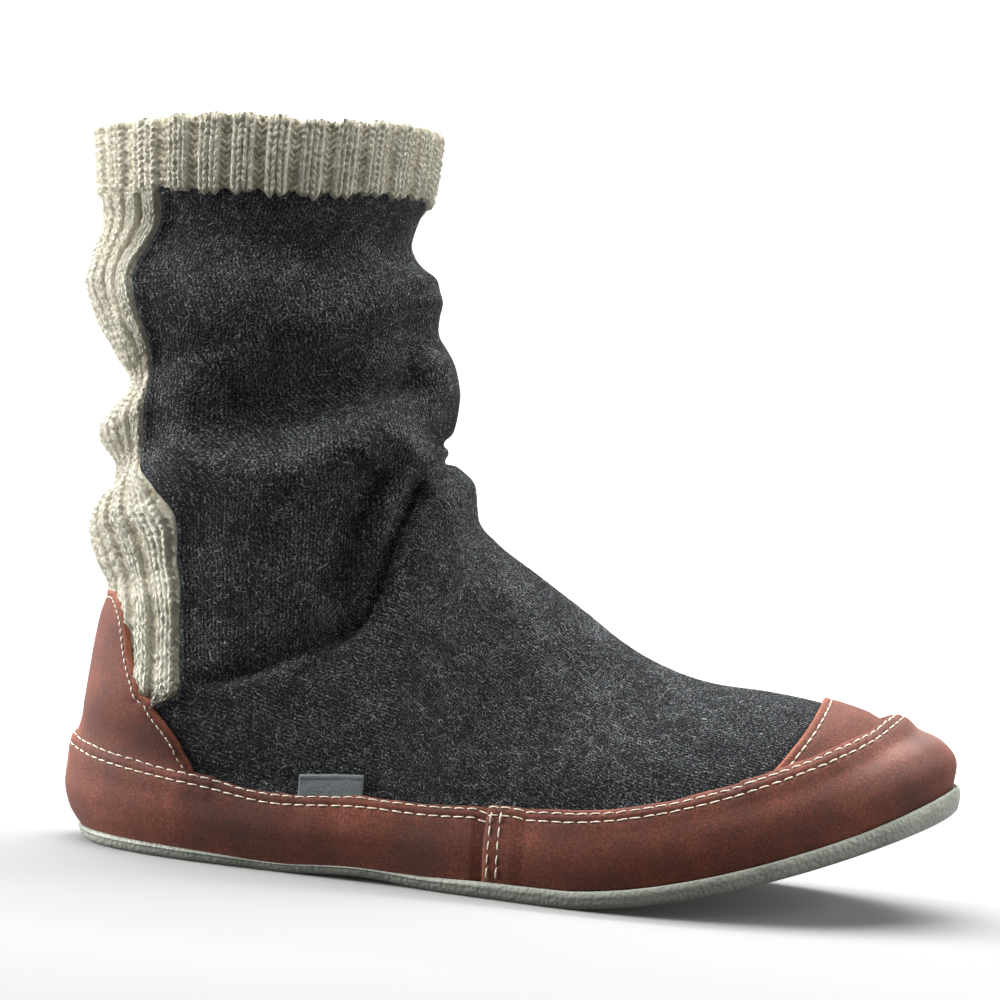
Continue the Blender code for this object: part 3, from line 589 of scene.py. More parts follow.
def stitch_pattern(tree, wale_mm, course_mm, lean, fineness):
    """Knit stitches from the yarn map, whose x counts wales and whose y is in millimetres.

    Each wale is a column of V. A V's leg rises by lean courses from the middle of the wale to its
    edge. Returns the streaks along the legs, the swell of the legs, a random value for each leg,
    and the place on the cloth in millimetres.
    """
    yarn = add(tree, "UVMap", uv_map="yarn")
    wales, along = (add(tree, "SeparateXYZ", yarn, output=k) for k in (0, 1))
    part = add(tree, "Math", wales, operation="FRACT")
    off = add(tree, "Math", part, 0.5, operation="SUBTRACT")
    side = add(tree, "Math", off, operation="SIGN")
    leg = add(tree, "Math", off, side, operation="MULTIPLY")
    leg = add(tree, "Math", leg, 2.0, operation="MULTIPLY")
    course = add(tree, "Math", along, course_mm, operation="DIVIDE")
    phase = add(tree, "Math", leg, -lean, course, operation="MULTIPLY_ADD")
    # the leg bulges once in a course, and falls away at both edges of its half wale
    swell, across = phase, leg
    for operation, *others in (
            ("MULTIPLY", np.pi), ("SINE",), ("ABSOLUTE",), ("MULTIPLY_ADD", 0.6, 0.4)):
        swell = add(tree, "Math", swell, *others, operation=operation)
    for operation, *others in (("MULTIPLY", np.pi), ("SINE",), ("POWER", 0.6)):
        across = add(tree, "Math", across, *others, operation=operation)
    height = add(tree, "Math", across, swell, operation="MULTIPLY")
    # the streaks lie in a frame that is turned to the leg's own direction
    angle = np.arctan2(wale_mm / 2, lean * course_mm)
    across_mm = add(tree, "Math", wales, wale_mm, operation="MULTIPLY")
    leaning = add(tree, "Math", side, np.sin(angle), operation="MULTIPLY")
    straight = add(tree, "Math", across_mm, np.cos(angle), operation="MULTIPLY")
    beside = add(tree, "Math", leaning, along, operation="MULTIPLY")
    beside = add(tree, "Math", straight, beside, operation="SUBTRACT")
    ahead = add(tree, "Math", leaning, across_mm, operation="MULTIPLY")
    ahead = add(tree, "Math", along, np.cos(angle), ahead, operation="MULTIPLY_ADD")
    turned = add(tree, "CombineXYZ", beside, ahead, side)
    stretch = (fineness, fineness * 0.25, 5.0)
    turned = add(tree, "VectorMath", turned, stretch, operation="MULTIPLY")
    streak = add(tree, "TexNoise", Vector=turned, Scale=1.0, Detail=2.0, Roughness=0.6)
    half = add(tree, "Math", wales, 2.0, operation="MULTIPLY")
    half, one = (add(tree, "Math", value, operation="FLOOR") for value in (half, phase))
    stitch = add(tree, "CombineXYZ", half, one)
    own = add(tree, "TexWhiteNoise", Vector=stitch, noise_dimensions="2D")
    return streak, height, own, add(tree, "CombineXYZ", across_mm, along)


def curled_fibres(tree, flat, per_mm, sharpness):
    """Thin curly lines: the places where one of three noises passes through its middle value."""
    three = add(tree, "TexNoise", Vector=flat, Scale=per_mm, Detail=2.0, Roughness=0.6,
                Distortion=1.0, output="Color")
    three = add(tree, "VectorMath", three, (0.5, 0.5, 0.5), operation="SUBTRACT")
    three = add(tree, "VectorMath", three, operation="ABSOLUTE")
    x, y, z = (add(tree, "SeparateXYZ", three, output=k) for k in range(3))
    nearest = add(tree, "Math", x, y, operation="MINIMUM")
    nearest = add(tree, "Math", nearest, z, operation="MINIMUM")
    return add(tree, "Math", nearest, -sharpness, 1.0, operation="MULTIPLY_ADD", use_clamp=True)


def weighted_sum(tree, total, *parts):
    """A start value plus each output times its weight. It mixes the tones and the relief."""
    for source, weight in parts:
        total = add(tree, "Math", source, weight, total, operation="MULTIPLY_ADD")
    return total

# %% [markdown]
# ## Charcoal wool
# The foot and shaft are knitted from a charcoal mix yarn, washed until the stitches close up. That
# gives the eye a dark ground with short pale fibres lying every way, faint columns of stitches and
# hardly any gloss. Bump carries the stitches, because at this size they stand only 0.3 mm high.

# %% Charcoal material
WALE_MM = 2.2
COURSE_MM = 1.9


def charcoal_wool():
    made, tree, shader = new_material(
        "fulled charcoal wool knit", Roughness=0.95, Sheen_Weight=0.03, Sheen_Roughness=0.5,
        Specular_IOR_Level=0.1)
    streak, height, own, flat = stitch_pattern(tree, WALE_MM, COURSE_MM, 1.1, 2.8)
    fibres = curled_fibres(tree, flat, 1.1, 16.0)
    fine = add(tree, "TexNoise", Vector=flat, Scale=2.1, Detail=3.0, Roughness=0.75, Distortion=0.8)
    cloud = add(tree, "TexNoise", Vector=flat, Scale=0.07, Detail=3.0)
    lit = add(tree, "Math", fibres, fine, operation="MULTIPLY")
    # height darkens the colour where the legs of the stitches meet: painted shade
    tone = weighted_sum(tree, -1.04, (streak, 0.55), (height, 0.24), (fine, 1.30), (own, 0.10),
                        (cloud, 0.28), (lit, 0.80))
    colour = add(tree, "ValToRGB", tone, stops=(
        (0.18, "#08080a"), (0.40, "#16171a"), (0.57, "#303337"), (0.74, "#6d7174"),
        (0.93, "#c9cbca")))
    lift = weighted_sum(tree, 0.0, (streak, 0.5), (height, 0.7), (fine, 0.9), (fibres, 0.25))
    bump = add(tree, "Bump", Height=lift, Strength=1.0, Distance=0.0009)
    finish_with(tree, shader, Base_Color=colour, Normal=bump)
    return made


charcoal = charcoal_wool()

# %% [markdown]
# ## The charcoal upper
# It is one hollow wall. On the foot the wales run from heel to toe, on the shaft they run up, and
# the two meet at the valley. So the yarn map has one formula below the valley and another above
# it. The ribbed panel fills the opening behind, whose edges the grid's columns follow.

# %% Upper
# (section, half width of the panel as a share of the way round)
PANEL = (
    ("vamp_high", 0.162), ("instep_mid", 0.174), ("instep_roll", 0.199), ("crease", 0.206),
    ("ankle_1", 0.199), ("ankle_2", 0.194), ("ankle_3", 0.190), ("counter_top", 0.182),
    ("bulge_1", 0.193), ("bulge_2", 0.181), ("bulge_3", 0.160), ("pinch_1", 0.139),
    ("pinch_2", 0.134), ("bulge_4", 0.154), ("bulge_5", 0.146), ("pinch_3", 0.125),
    ("calf_1", 0.151), ("calf_2", 0.162), ("calf_3", 0.168), ("calf_5", 0.175),
    ("cuff_seam", 0.180), ("cuff_mid", 0.180),
)
PANEL_FIRST = row("instep_mid")
UPPER_COLUMNS = 330
PANEL_COLUMN = 60
UPPER_TOP = 34.2
SHAFT_ROUND_MM = 300.0
SEAM_LIFT = 0.0012
SEAM_SPREAD = 0.007
RIDGE_BEHIND = 0.030
RIDGE_POWER = 1.35
YARN_FROM = 0.3
WALE_DROP = 0.5
WALE_STEP = 1.12


def foot_yarn(points):
    """Wales that run parallel to the ridge of the vamp.

    The distance across is a blend of the drop below the ridge and the distance to its side. Behind
    the ankle the ridge goes on at a lower slope. Along the wale lies x less half of z.
    """
    rings = np.arange(row("rand_top"), row("ankle_1"))
    fronts = np.array([last_form(0.5, v) for v in rings])[::-1]
    x, y, z = points[..., 0], points[..., 1], points[..., 2]
    ridge_x = np.concatenate([[HEEL_X], fronts[:, 0]])
    ridge_z = np.concatenate([[fronts[0, 2] + RIDGE_BEHIND], fronts[:, 2]])
    drop = np.maximum(np.interp(x, ridge_x, ridge_z) - z, 1e-5)
    across = (drop**RIDGE_POWER + np.abs(y) ** RIDGE_POWER) ** (1 / RIDGE_POWER)
    along = (x - WALE_DROP * z) * 1000 / WALE_STEP
    return np.stack([(YARN_FROM - across) * 1000 / WALE_MM, along], axis=-1)


def build_upper():
    heights = np.concatenate([np.arange(0, 3), np.arange(3, 34.01, 1 / 6), [UPPER_TOP]])
    v = heights[:, None]
    share = np.arange(UPPER_COLUMNS) / UPPER_COLUMNS
    seam = PANEL_COLUMN / UPPER_COLUMNS
    wide = by_section(PANEL, np.maximum(heights, PANEL_FIRST))
    way = np.array([np.interp(share, [0, seam, 1 - seam, 1], [0, w, 1 - w, 1]) for w in wide])
    beside_panel = (np.minimum(way, 1 - way) - wide[:, None]) / SEAM_SPREAD
    start = ease((v - PANEL_FIRST + 0.5) * 2)
    outer = skin(way, v, SEAM_LIFT * start * np.exp(-(beside_panel**2)))
    inner = outer - outward(way, v) * KNIT_WALL
    for grid in (outer, inner):
        grid[0, :, 2] = sole_top(grid[0, :, 0]) + GAP
    cells = np.ones((len(heights) - 1, UPPER_COLUMNS), bool)
    first = int(np.argmax(heights >= PANEL_FIRST))
    cells[first:, :PANEL_COLUMN] = False
    cells[first:, UPPER_COLUMNS - PANEL_COLUMN :] = False

    # the shaft's yarn is counted from the cuff, where the courses lie level
    rise = run_length(outer, 0)
    rise = (rise - rise[-1]) * 1000
    around = share[None] * SHAFT_ROUND_MM / WALE_MM
    shaft = np.stack(np.broadcast_arrays(around, rise), axis=-1)
    foot, shaft = (np.tile(m.reshape(-1, 2), (2, 1)) for m in (foot_yarn(outer), shaft))
    quads = wall_quads(*outer.shape[:2], cells)
    lowest = (quads % (len(heights) * UPPER_COLUMNS)).min(axis=1) // UPPER_COLUMNS
    on_foot = lowest < int(np.argmax(heights >= row("crease")))
    yarn = np.where(on_foot[:, None, None], foot[quads], shaft[quads])

    used, index = np.unique(quads, return_inverse=True)
    points = np.concatenate([outer.reshape(-1, 3), inner.reshape(-1, 3)])[used]
    make_piece("upper_knit", points, [index.reshape(-1, 4)], charcoal, "charcoal_knit",
               ("upper",), yarn)
    return outer, cells, way, v


upper_grid, upper_cells, upper_way, upper_v = build_upper()

# %% [markdown]
# ## Cream rib
# The cuff and the back panel are knitted from thick cream ragg wool, two plain wales and one purl,
# so a rib repeats every 10 to 11 mm. Plain stitches are columns of V that point down, and the purl
# column lies back in shade. These stitches are 3.5 mm wide and show on the outline, so they are
# worked out as real relief: a height for each place across the rib and along it.

# %% Relief of the rib
RIB_MM = 10.6
RIB_COURSE = 0.0020
PURL_HALF = 1 / 6
PURL_DEEP = 0.0018
PURL_ARC = 0.0007
LEG_HIGH = 0.0013
LEG_LEAN = 0.95


def rib_relief(repeat, course, deep=PURL_DEEP):
    """Height of the rib at a repeat number and a course number.

    A leg of a V is a sine across, and swells once in a course along. The purl wale is one deep
    groove with a small arc in each course. A cosine takes one over into the other.
    """
    off = np.abs(repeat - np.round(repeat))
    wale = (off - PURL_HALF) / (0.5 - PURL_HALF)
    leg = np.abs(2 * wale - 1)
    swell = np.abs(np.sin(np.pi * (course - LEG_LEAN * leg)))
    across = np.sin(np.pi * np.clip(leg, 0, 1)) ** 0.6
    plain = LEG_HIGH * across * (0.30 + 0.70 * swell**0.6)
    arc = np.abs(np.sin(np.pi * (course + 0.3 * np.cos(np.pi * off / PURL_HALF))))
    purl = -deep + PURL_ARC * arc**0.7
    return purl + (plain - purl) * ease((off - PURL_HALF + 0.07) / 0.15)


def rib_yarn(repeat, along):
    """The yarn map of a rib: three wales in a repeat, and millimetres along."""
    return np.stack(np.broadcast_arrays(3 * repeat + 0.5 + 300, along * 1000), axis=-1)


def woolly(grid, seed, amount=0.0003):
    """Uneven yarn: a field of bumps about 0.8 mm across and one about 6 mm."""
    x, y, z = (grid[..., k] * 1000 for k in range(3))
    fine = soft_noise(x / 0.8 + y / 1.3, z / 0.8, seed)
    broad = soft_noise(x / 6 + y / 5, z / 6, seed + 1)
    return amount * (fine + broad)

# %% [markdown]
# The cream yarn is heathered: off-white with strands of beige and a warm grey. Fibres lie along
# the legs of the stitches. The colour is made darker and warmer in the hollows and between the
# legs as painted shade, read from the relief, which is kept as an attribute for that.

# %% Cream material
def cream_wool(name, course):
    made, tree, shader = new_material(
        name, Roughness=0.95, Sheen_Weight=0.05, Sheen_Roughness=0.5, Specular_IOR_Level=0.2)
    streak, leg, own, flat = stitch_pattern(tree, RIB_MM / 3, course * 1000, LEG_LEAN, 2.4)
    high = add(tree, "Attribute", attribute_name="relief", output="Fac")
    fibres = curled_fibres(tree, flat, 0.85, 14.0)
    strand = add(tree, "TexNoise", Vector=flat, Scale=0.28, Detail=3.0)
    fine = add(tree, "TexNoise", Vector=flat, Scale=2.0, Detail=3.0, Roughness=0.75, Distortion=0.8)
    # high and leg make the hollows and the gaps between the legs darker: painted shade
    tone = weighted_sum(tree, -0.94, (high, 0.52), (streak, 0.75), (leg, 0.28), (own, 0.12),
                        (fine, 1.05), (strand, 0.55), (fibres, 0.22))
    colour = add(tree, "ValToRGB", tone, stops=(
        (0.08, "#4a3d24"), (0.24, "#9a8a62"), (0.38, "#d4c79b"), (0.56, "#f2e8c6"),
        (0.82, "#fffae6")))
    lift = weighted_sum(tree, 0.0, (streak, 0.5), (leg, 1.1), (fine, 1.0), (fibres, 0.3))
    bump = add(tree, "Bump", Height=lift, Strength=1.0, Distance=0.0013)
    finish_with(tree, shader, Base_Color=colour, Normal=bump)
    return made


PANEL_COURSE = 0.0021
cream = cream_wool("cream ragg wool rib, stretched", RIB_COURSE)
cream_close = cream_wool("cream ragg wool rib, relaxed", PANEL_COURSE)


def relief_share(height):
    """The relief from 0 in the deepest purl to 1 on the highest leg; it paints shade in the
    hollows.
    """
    return np.clip((height + PURL_DEEP) / (PURL_DEEP + LEG_HIGH), 0, 1)

# %% [markdown]
# The back panel runs from under the heel counter up into the cuff. Its sides are tucked under the
# charcoal wall, and over the counter its ribs crowd toward the middle.

# %% Back panel
PANEL_GRID = (297, 281)
PANEL_RIBS = 14.2
PANEL_TUCK = 1.03
PANEL_TOP = 34.1
PANEL_DEEP = 0.0015
PANEL_MOST = 0.0012
RIB_FAN = 0.42
RIB_BASE = 0.0006
TUCK_DEEP = 0.0032


def build_panel():
    heights = np.linspace(PANEL_FIRST - 0.3, PANEL_TOP, PANEL_GRID[0])
    across = np.linspace(-PANEL_TUCK, PANEL_TUCK, PANEL_GRID[1])[None]
    way = by_section(PANEL, heights)[:, None] * across
    base = skin(way, heights[:, None])
    normal = grid_normals(base)
    along = run_length(base, 0)
    course = along.mean(axis=1, keepdims=True) / PANEL_COURSE
    fan = RIB_FAN * np.exp(-(((heights - row("bulge_1")) / 2.2) ** 2))[:, None]
    share = across + fan * np.sin(np.pi * across) / np.pi
    repeat = share * (PANEL_RIBS / 2) + 0.05 * soft_noise(along / 0.02, across * 4, 9)
    high = 0.85 * rib_relief(repeat, course, PANEL_DEEP) + woolly(base, 3, 0.00045)
    high = np.minimum(high, PANEL_MOST)
    tucked = TUCK_DEEP * ease((np.abs(across) - 0.980) / 0.04)
    outer = base + normal * (high + RIB_BASE - tucked)[..., None]
    inner = base - normal * (KNIT_WALL - RIB_BASE - high * 0.3)[..., None]
    make_wall("back_panel_rib", outer, inner, cream_close, "cream_rib", "back_panel", stride=4,
              uv=rib_yarn(repeat, along), values={"relief": relief_share(high)})
    return outer, way, heights[:, None]


panel_grid, panel_way, panel_v = build_panel()

# %% [markdown]
# The cuff is the same rib, turned double. Its lower edge is not cut: the last plain stitches end
# in points over the charcoal. The rim rolls over from the outer face to the inner one.

# %% Cuff
CUFF_RIBS = 27
CUFF_ROWS = 76
RIB_COLUMNS = 28
BACK_RIBS = 4
CUFF_FRONT = 0.185
CUFF_FIRST = 34.05
CUFF_LAST = 36
CUFF_DEEP = 0.0013
CUFF_OUT = 0.0010
TIP_DROP = 0.22


def cuff_way(repeat):
    """Where each rib lies: even along the front and sides, and spread over the rest at the back."""
    dense = np.linspace(CUFF_FRONT, 1 - CUFF_FRONT, 400)
    ring = path_length(last_form(dense, np.full(400, row("cuff_mid"))))
    front = np.interp(np.linspace(0, ring[-1], 200), ring, dense)
    ribs = np.linspace(BACK_RIBS, CUFF_RIBS - BACK_RIBS, 200)
    knots = np.concatenate([[0], ribs, [CUFF_RIBS]])
    return np.interp(repeat, knots, np.concatenate([[0], front, [1]]))


def build_cuff():
    columns = RIB_COLUMNS * CUFF_RIBS
    repeat = np.arange(columns) * CUFF_RIBS / columns
    way = cuff_way(repeat)
    off = np.abs(repeat - np.round(repeat))
    wale = (off - PURL_HALF) / (0.5 - PURL_HALF)
    point = np.where(off > PURL_HALF, 1 - np.abs(2 * wale - 1), 0)
    uneven = 0.8 + 0.5 * soft_noise(repeat * 3, repeat * 0, 11)
    front_part = ease((np.abs(way - 0.5) - 0.30) / -0.02)
    lowest = (CUFF_FIRST - TIP_DROP * point * uneven * front_part)[None]
    share = np.linspace(0, 1, CUFF_ROWS)[:, None]
    base = skin(way[None], np.minimum(lowest + (CUFF_LAST - lowest) * share, CUFF_LAST))
    normal = grid_normals(base, closed=True)
    along = run_length(base, 0)
    course = (along[-1:] - along) / -RIB_COURSE
    high = rib_relief(repeat[None], course, CUFF_DEEP) + woolly(base, 5, 0.00035)
    full = ease(share / 0.07)
    stand = CUFF_OUT + 0.0006 * np.sin(np.pi * share) - 0.0010 * (1 - full)
    outer = base + normal * (high * (0.35 + 0.65 * full) + stand)[..., None]
    inner = base - normal * (KNIT_WALL - 0.4 * high)[..., None]
    # the rim rolls over from the outer face to the inner one
    middle, reach = (outer[-1] + inner[-1]) / 2, (outer[-1] - inner[-1]) / 2
    way_up = unit(outer[-1] - outer[-3]) * np.linalg.norm(reach, axis=-1, keepdims=True)
    rolls = [(np.cos(a), np.sin(a)) for a in np.radians([20, 40, 60, 76, 87])]
    outer = np.concatenate([outer, [middle + reach * c + way_up * s for c, s in rolls]])
    inner = np.concatenate([inner, [middle - reach * c + way_up * s for c, s in rolls]])
    extra = ((0, len(rolls)), (0, 0))
    along = np.pad(along, extra, mode="reflect", reflect_type="odd")
    high = np.pad(high, extra, mode="edge")
    yarn = rib_yarn(np.broadcast_to(repeat[None], along.shape), along)
    make_wall("cuff_rib", outer, inner, cream, "cream_rib", "ribbed_cuff", closed=True,
              stride=4, uv=yarn, values={"relief": relief_share(high)})
    return outer


cuff_grid = build_cuff()

# %% [markdown]
# ## Suede
# The rand, the heel counter and the toe cap are oiled red-brown suede about 1.3 mm thick. Oil and
# handling leave it cloudy, darker where it is pressed and paler at the cut edges, with a short nap
# that gives it a fine grain and a soft shine where it is worn at the toe. There the colour is also
# painted paler, as a painted highlight.

# %% Suede material
def oiled_suede():
    made, tree, shader = new_material(
        "oiled red-brown suede", Sheen_Weight=0.03, Sheen_Roughness=0.4, Specular_IOR_Level=0.34)
    place = add(tree, "TexCoord", output="Object")
    cloud = add(tree, "TexNoise", Vector=place, Scale=42.0, Detail=4.0, Roughness=0.6)
    grain = add(tree, "TexNoise", Vector=place, Scale=1500.0, Detail=3.0, Roughness=0.75)
    nap = add(tree, "TexNoise", Vector=place, Scale=3200.0, Detail=2.0)
    rim = add(tree, "Attribute", attribute_name="rim", output="Fac")
    wear_and_painted_highlight = add(tree, "Attribute", attribute_name="wear_and_painted_highlight", output="Fac")
    # the worn toe is painted paler here as a painted highlight; its lower roughness below is real
    # wear
    tone = weighted_sum(tree, -0.14, (cloud, 0.62), (grain, 0.95), (rim, 0.28), (wear_and_painted_highlight, 0.12))
    colour = add(tree, "ValToRGB", tone, stops=(
        (0.42, "#2e160f"), (0.62, "#4e2518"), (0.80, "#6c3726"), (1.0, "#9c5e48")))
    rough = weighted_sum(tree, 0.64, (grain, 0.25), (wear_and_painted_highlight, -0.42))
    lift = weighted_sum(tree, 0.0, (nap, 0.4), (grain, 0.7))
    bump = add(tree, "Bump", Height=lift, Strength=0.6, Distance=0.0004)
    finish_with(tree, shader, Base_Color=colour, Roughness=rough, Normal=bump)
    return made


suede = oiled_suede()

# %% [markdown]
# A lockstitch pulls the leather down along its line and more at each needle hole. So every suede
# piece knows how far each point is from its cut edge, and takes a groove from that.

# %% Suede helpers
STITCH_PITCH = 0.0038
CAP_PITCH = 0.0034
COUNTER_PITCH = 0.0023
SUEDE_WALL = 0.0013
EDGE_GAP = 0.0008
GROOVE_WIDE = 0.0007
GROOVE_DEEP = 0.00022
HOLE_DEEP = 0.00028
CUT_RADIUS = 0.0009
RIM_WIDE = 0.0007
AT_ONCE = 4000


def distance_to(points, line):
    """Distance from every point to the nearest point of a line, and how far along that lies."""
    flat = points.reshape(-1, 3)
    run = path_length(line)
    nearest, along = np.empty(len(flat)), np.empty(len(flat))
    for start in range(0, len(flat), AT_ONCE):
        part = slice(start, start + AT_ONCE)
        gap = np.linalg.norm(flat[part, None] - line[None], axis=-1)
        nearest[part], along[part] = gap.min(axis=1), run[gap.argmin(axis=1)]
    return nearest.reshape(points.shape[:-1]), along.reshape(points.shape[:-1])


def seam_groove(distance, along, inset, pitch):
    """A groove at this inset from the edge, deeper at the needle holes, one in each pitch."""
    line = np.exp(-(((distance - inset) / GROOVE_WIDE) ** 2))
    hole = np.cos(np.pi * along / pitch) ** 8
    return line * (GROOVE_DEEP + HOLE_DEEP * hole)


def cut_edge(distance, radius=CUT_RADIUS):
    """How far a rounded cut edge falls away: a quarter circle over the first part of the wall."""
    t = np.clip(distance / radius, 0, 1)
    return radius * (1 - np.sqrt(1 - (1 - t) ** 2))


def make_leather(name, node, outer, inner, flat, wear_and_painted_highlight, rim=RIM_WIDE):
    """A suede wall that knows how near its cut edge is, as exp(-distance / rim), and its wear,
    which also paints a highlight.
    """
    make_wall(name, outer, inner, suede, "suede", node,
              values={"rim": np.exp(-flat / rim), "wear_and_painted_highlight": np.broadcast_to(wear_and_painted_highlight, flat.shape)})

# %% [markdown]
# The heel counter covers the back of the heel from the rand up to a rounded peak. Its front edge
# is a line of points read in the photo, and the inner side has the same one.

# %% Heel counter
# (way, section number) along the front edge of the counter, from under the rand to its peak
COUNTER_EDGE = (
    (0.1435, 3.65), (0.1420, 4.60), (0.1450, 6.90), (0.1562, 8.95), (0.1625, 10.65),
    (0.1663, 13.10), (0.1600, 16.10), (0.1470, 16.85), (0.1375, 17.45), (0.1295, 18.10),
    (0.1190, 18.75), (0.1020, 19.35), (0.0750, 19.85), (0.0387, 20.10), (0.0000, 20.16),
)
COUNTER_INSET = 0.0021
COUNTER_GRID = (130, 90)
# the counter is stiffened, so it bridges the small kinks of the sock and stands a little off it
STIFF_PASSES = 60
STIFF_REACH = 0.005
STIFF_LIFT = 0.0003
LIFT_FROM = 8
LIFT_INSET = 0.0028


def even_line(knots, count):
    """Points (way, section number) at even steps of real length along a line through knots."""
    way, v = np.array(knots).T
    run = path_length(skin(way, v))
    along = np.linspace(0, run[-1], count)
    return smooth_read(along, run, way), smooth_read(along, run, v)


def build_counter():
    way, v = even_line(COUNTER_EDGE, COUNTER_GRID[0])
    out = EDGE_GAP + SUEDE_WALL
    outline_way = np.concatenate([way, -way[::-1][1:]])
    outline_v = np.concatenate([v, v[::-1][1:]])
    v = v[:, None]
    across = np.linspace(-1, 1, COUNTER_GRID[1])[None]
    base = skin(np.maximum(way, 2e-4)[:, None] * across, v)
    normal = grid_normals(base)
    flat, along = distance_to(base + normal * out, skin(outline_way, outline_v, out))
    stiff = base.copy()
    for _ in range(STIFF_PASSES):
        stiff[1:-1] = (stiff[:-2] + 2 * stiff[1:-1] + stiff[2:]) / 4
    base = base + (stiff - base) * ease(flat / STIFF_REACH)[..., None]
    lift = STIFF_LIFT * ease((v - LIFT_FROM) / 4) * ease((flat - LIFT_INSET) / STIFF_REACH)
    base = base + normal * lift[..., None]
    normal = grid_normals(base)
    tuck = 0.0012 * (1 - ease((v - 3.65) / 0.5))
    high = out - cut_edge(flat) - seam_groove(flat, along, COUNTER_INSET, COUNTER_PITCH) - tuck
    make_leather("counter_suede", "heel_counter", base + normal * high[..., None],
                 base + normal * 0.0002, flat, 0.0)
    return outline_way, outline_v


counter_way, counter_v = build_counter()

# %% [markdown]
# The toe cap lies over the toe with a U-shaped rear edge. A row of its grid is one U, from the rear
# edge down to under the rand.

# %% Toe cap
CAP_HALF_WAY = 0.136
CAP_INSET = 0.0025
CAP_GRID = (64, 110)
CAP_RIM = 0.0009
SEAM_STEPS = 240


def cap_place(share, across):
    """Way and section number. share is 1 at the rand and 0 at the rear of the cap."""
    low, high = row("rand_top") - 0.3, row("cap_rear")
    v = high - (high - low) * share
    return 0.5 + CAP_HALF_WAY * np.sqrt(np.minimum(share, 1)) * across, v


def build_cap():
    share = (0.002 + 0.998 * np.linspace(1, 0, CAP_GRID[0]) ** 1.6)[:, None]
    way, v = cap_place(share, np.linspace(-1, 1, CAP_GRID[1])[None])
    out = GAP + SUEDE_WALL
    rear = np.linspace(1, 0, SEAM_STEPS) ** 2
    outline = np.concatenate([
        skin(*cap_place(rear, 1.0), out), skin(*cap_place(rear[::-1][1:], -1.0), out)])
    base = skin(way, v)
    normal = grid_normals(base)
    flat, along = distance_to(base + normal * out, outline)
    tuck = 0.0008 * ease((share - 0.86) / 0.14)
    high = out - cut_edge(flat) - seam_groove(flat, along, CAP_INSET, CAP_PITCH) - tuck
    make_leather("cap_suede", "toe_cap", base + normal * high[..., None],
                 base + normal * 0.0001, flat, 0.1, CAP_RIM)


build_cap()

# %% [markdown]
# The rand is a strip of suede round the whole foot, in two lengths. The front one laps over the
# rear one at both sides. Its upper edge is cut and slightly wavy, and two rows of stitches
# run below it. It swells a little before it turns in to the sole.

# %% Rand
RAND_WALL = 0.0018
LAP_WALL = 0.0009
LAP_AT = 0.519
LAP_LENGTH = 0.008
SKIVE_LENGTH = 0.004
RAND_INSETS = (0.0023, 0.0045)
RAND_COLUMNS = 340
SKIRT = 0.0015
SPREAD_ROW = 20
COUNTER_HALF_WAY = 0.149


def way_of(at, v):
    """Way round, on the outer side, at which section v passes a share of the length."""
    back, front = section(v, "back_at"), section(v, "front_at")
    return np.arccos(1 - 2 * (at - back) / (front - back)) / (2 * np.pi)


def build_rand(name, node, stops):
    """stops are (share of length, side, offset). The columns are spread evenly between them."""
    heights = np.concatenate([np.linspace(0, 3.4, 26), np.linspace(3.46, 4, 20)])
    v = heights[:, None]
    behind = stops[0][1] > 0
    exact = []
    for at, side, _ in stops:
        way = way_of(at, heights)
        exact.append(way if side < 0 else (-way if behind else 1 - way))
    exact = np.array(exact)
    knots = exact[:, SPREAD_ROW]
    spread = np.linspace(knots[0], knots[-1], RAND_COLUMNS)
    spread = np.unique(np.concatenate([spread, knots]))
    way = np.array([np.interp(spread, knots, column) for column in exact.T])
    offset = np.interp(spread, knots, [stop[2] for stop in stops])
    base = skin(way, v)
    base[0, :, 2] = sole_top(base[0, :, 0]) + GAP
    skirt = SKIRT * edge(share_of_length(base[..., 0]), "skirt")
    base[..., 2] -= (1 - np.minimum(v, 1)) * skirt
    normal = outward(way, v)
    top = base[-1] + normal[-1] * offset[:, None]
    flat, along = distance_to(base + normal * offset[None, :, None], top)
    run = path_length(top)
    end = np.minimum(run, run[-1] - run)[None]
    # it stands a little higher where it covers the cap or the counter
    over_cap = np.abs(spread - 0.5) < CAP_HALF_WAY
    over = (over_cap | (np.abs(spread) < COUNTER_HALF_WAY)) * ease((v - 2.6) / 1.2)
    wave = 0.00025 * soft_noise(run / 0.006, run * 0, 21 if behind else 22)
    high = offset[None] + 0.0006 * np.sin(np.pi * v / 4) ** 2
    high = high + 0.0006 * over + wave * (v / 4) ** 2
    high = high - cut_edge(np.minimum(flat, end + 0.0002), 0.0008)
    for inset in RAND_INSETS:
        high = high - seam_groove(flat, along, inset, STITCH_PITCH)
    outer = base + normal * high[..., None]
    # the hand-cut edge wanders up and down a little
    wander = 0.0004 * soft_noise(run / 0.009, run * 0, 23)[None]
    outer[-6:, :, 2] += wander * np.linspace(0, 1, 6)[:, None]
    inner = base + normal * np.minimum(offset - 0.0012, GAP)[None, :, None]
    inner[-1, :, 2] = outer[-1, :, 2] - 0.0001
    # the worn toe of the rand: less rough, and painted paler as a highlight
    wear_and_painted_highlight = ease((v - 1.1) / 1.2) * (1 - ease((v - 3.1) / 0.8))
    wear_and_painted_highlight = ease((base[..., 0] - 0.100) / 0.028) * wear_and_painted_highlight
    make_leather(name, node, outer, inner, flat, wear_and_painted_highlight)
    return outer, flat, normal


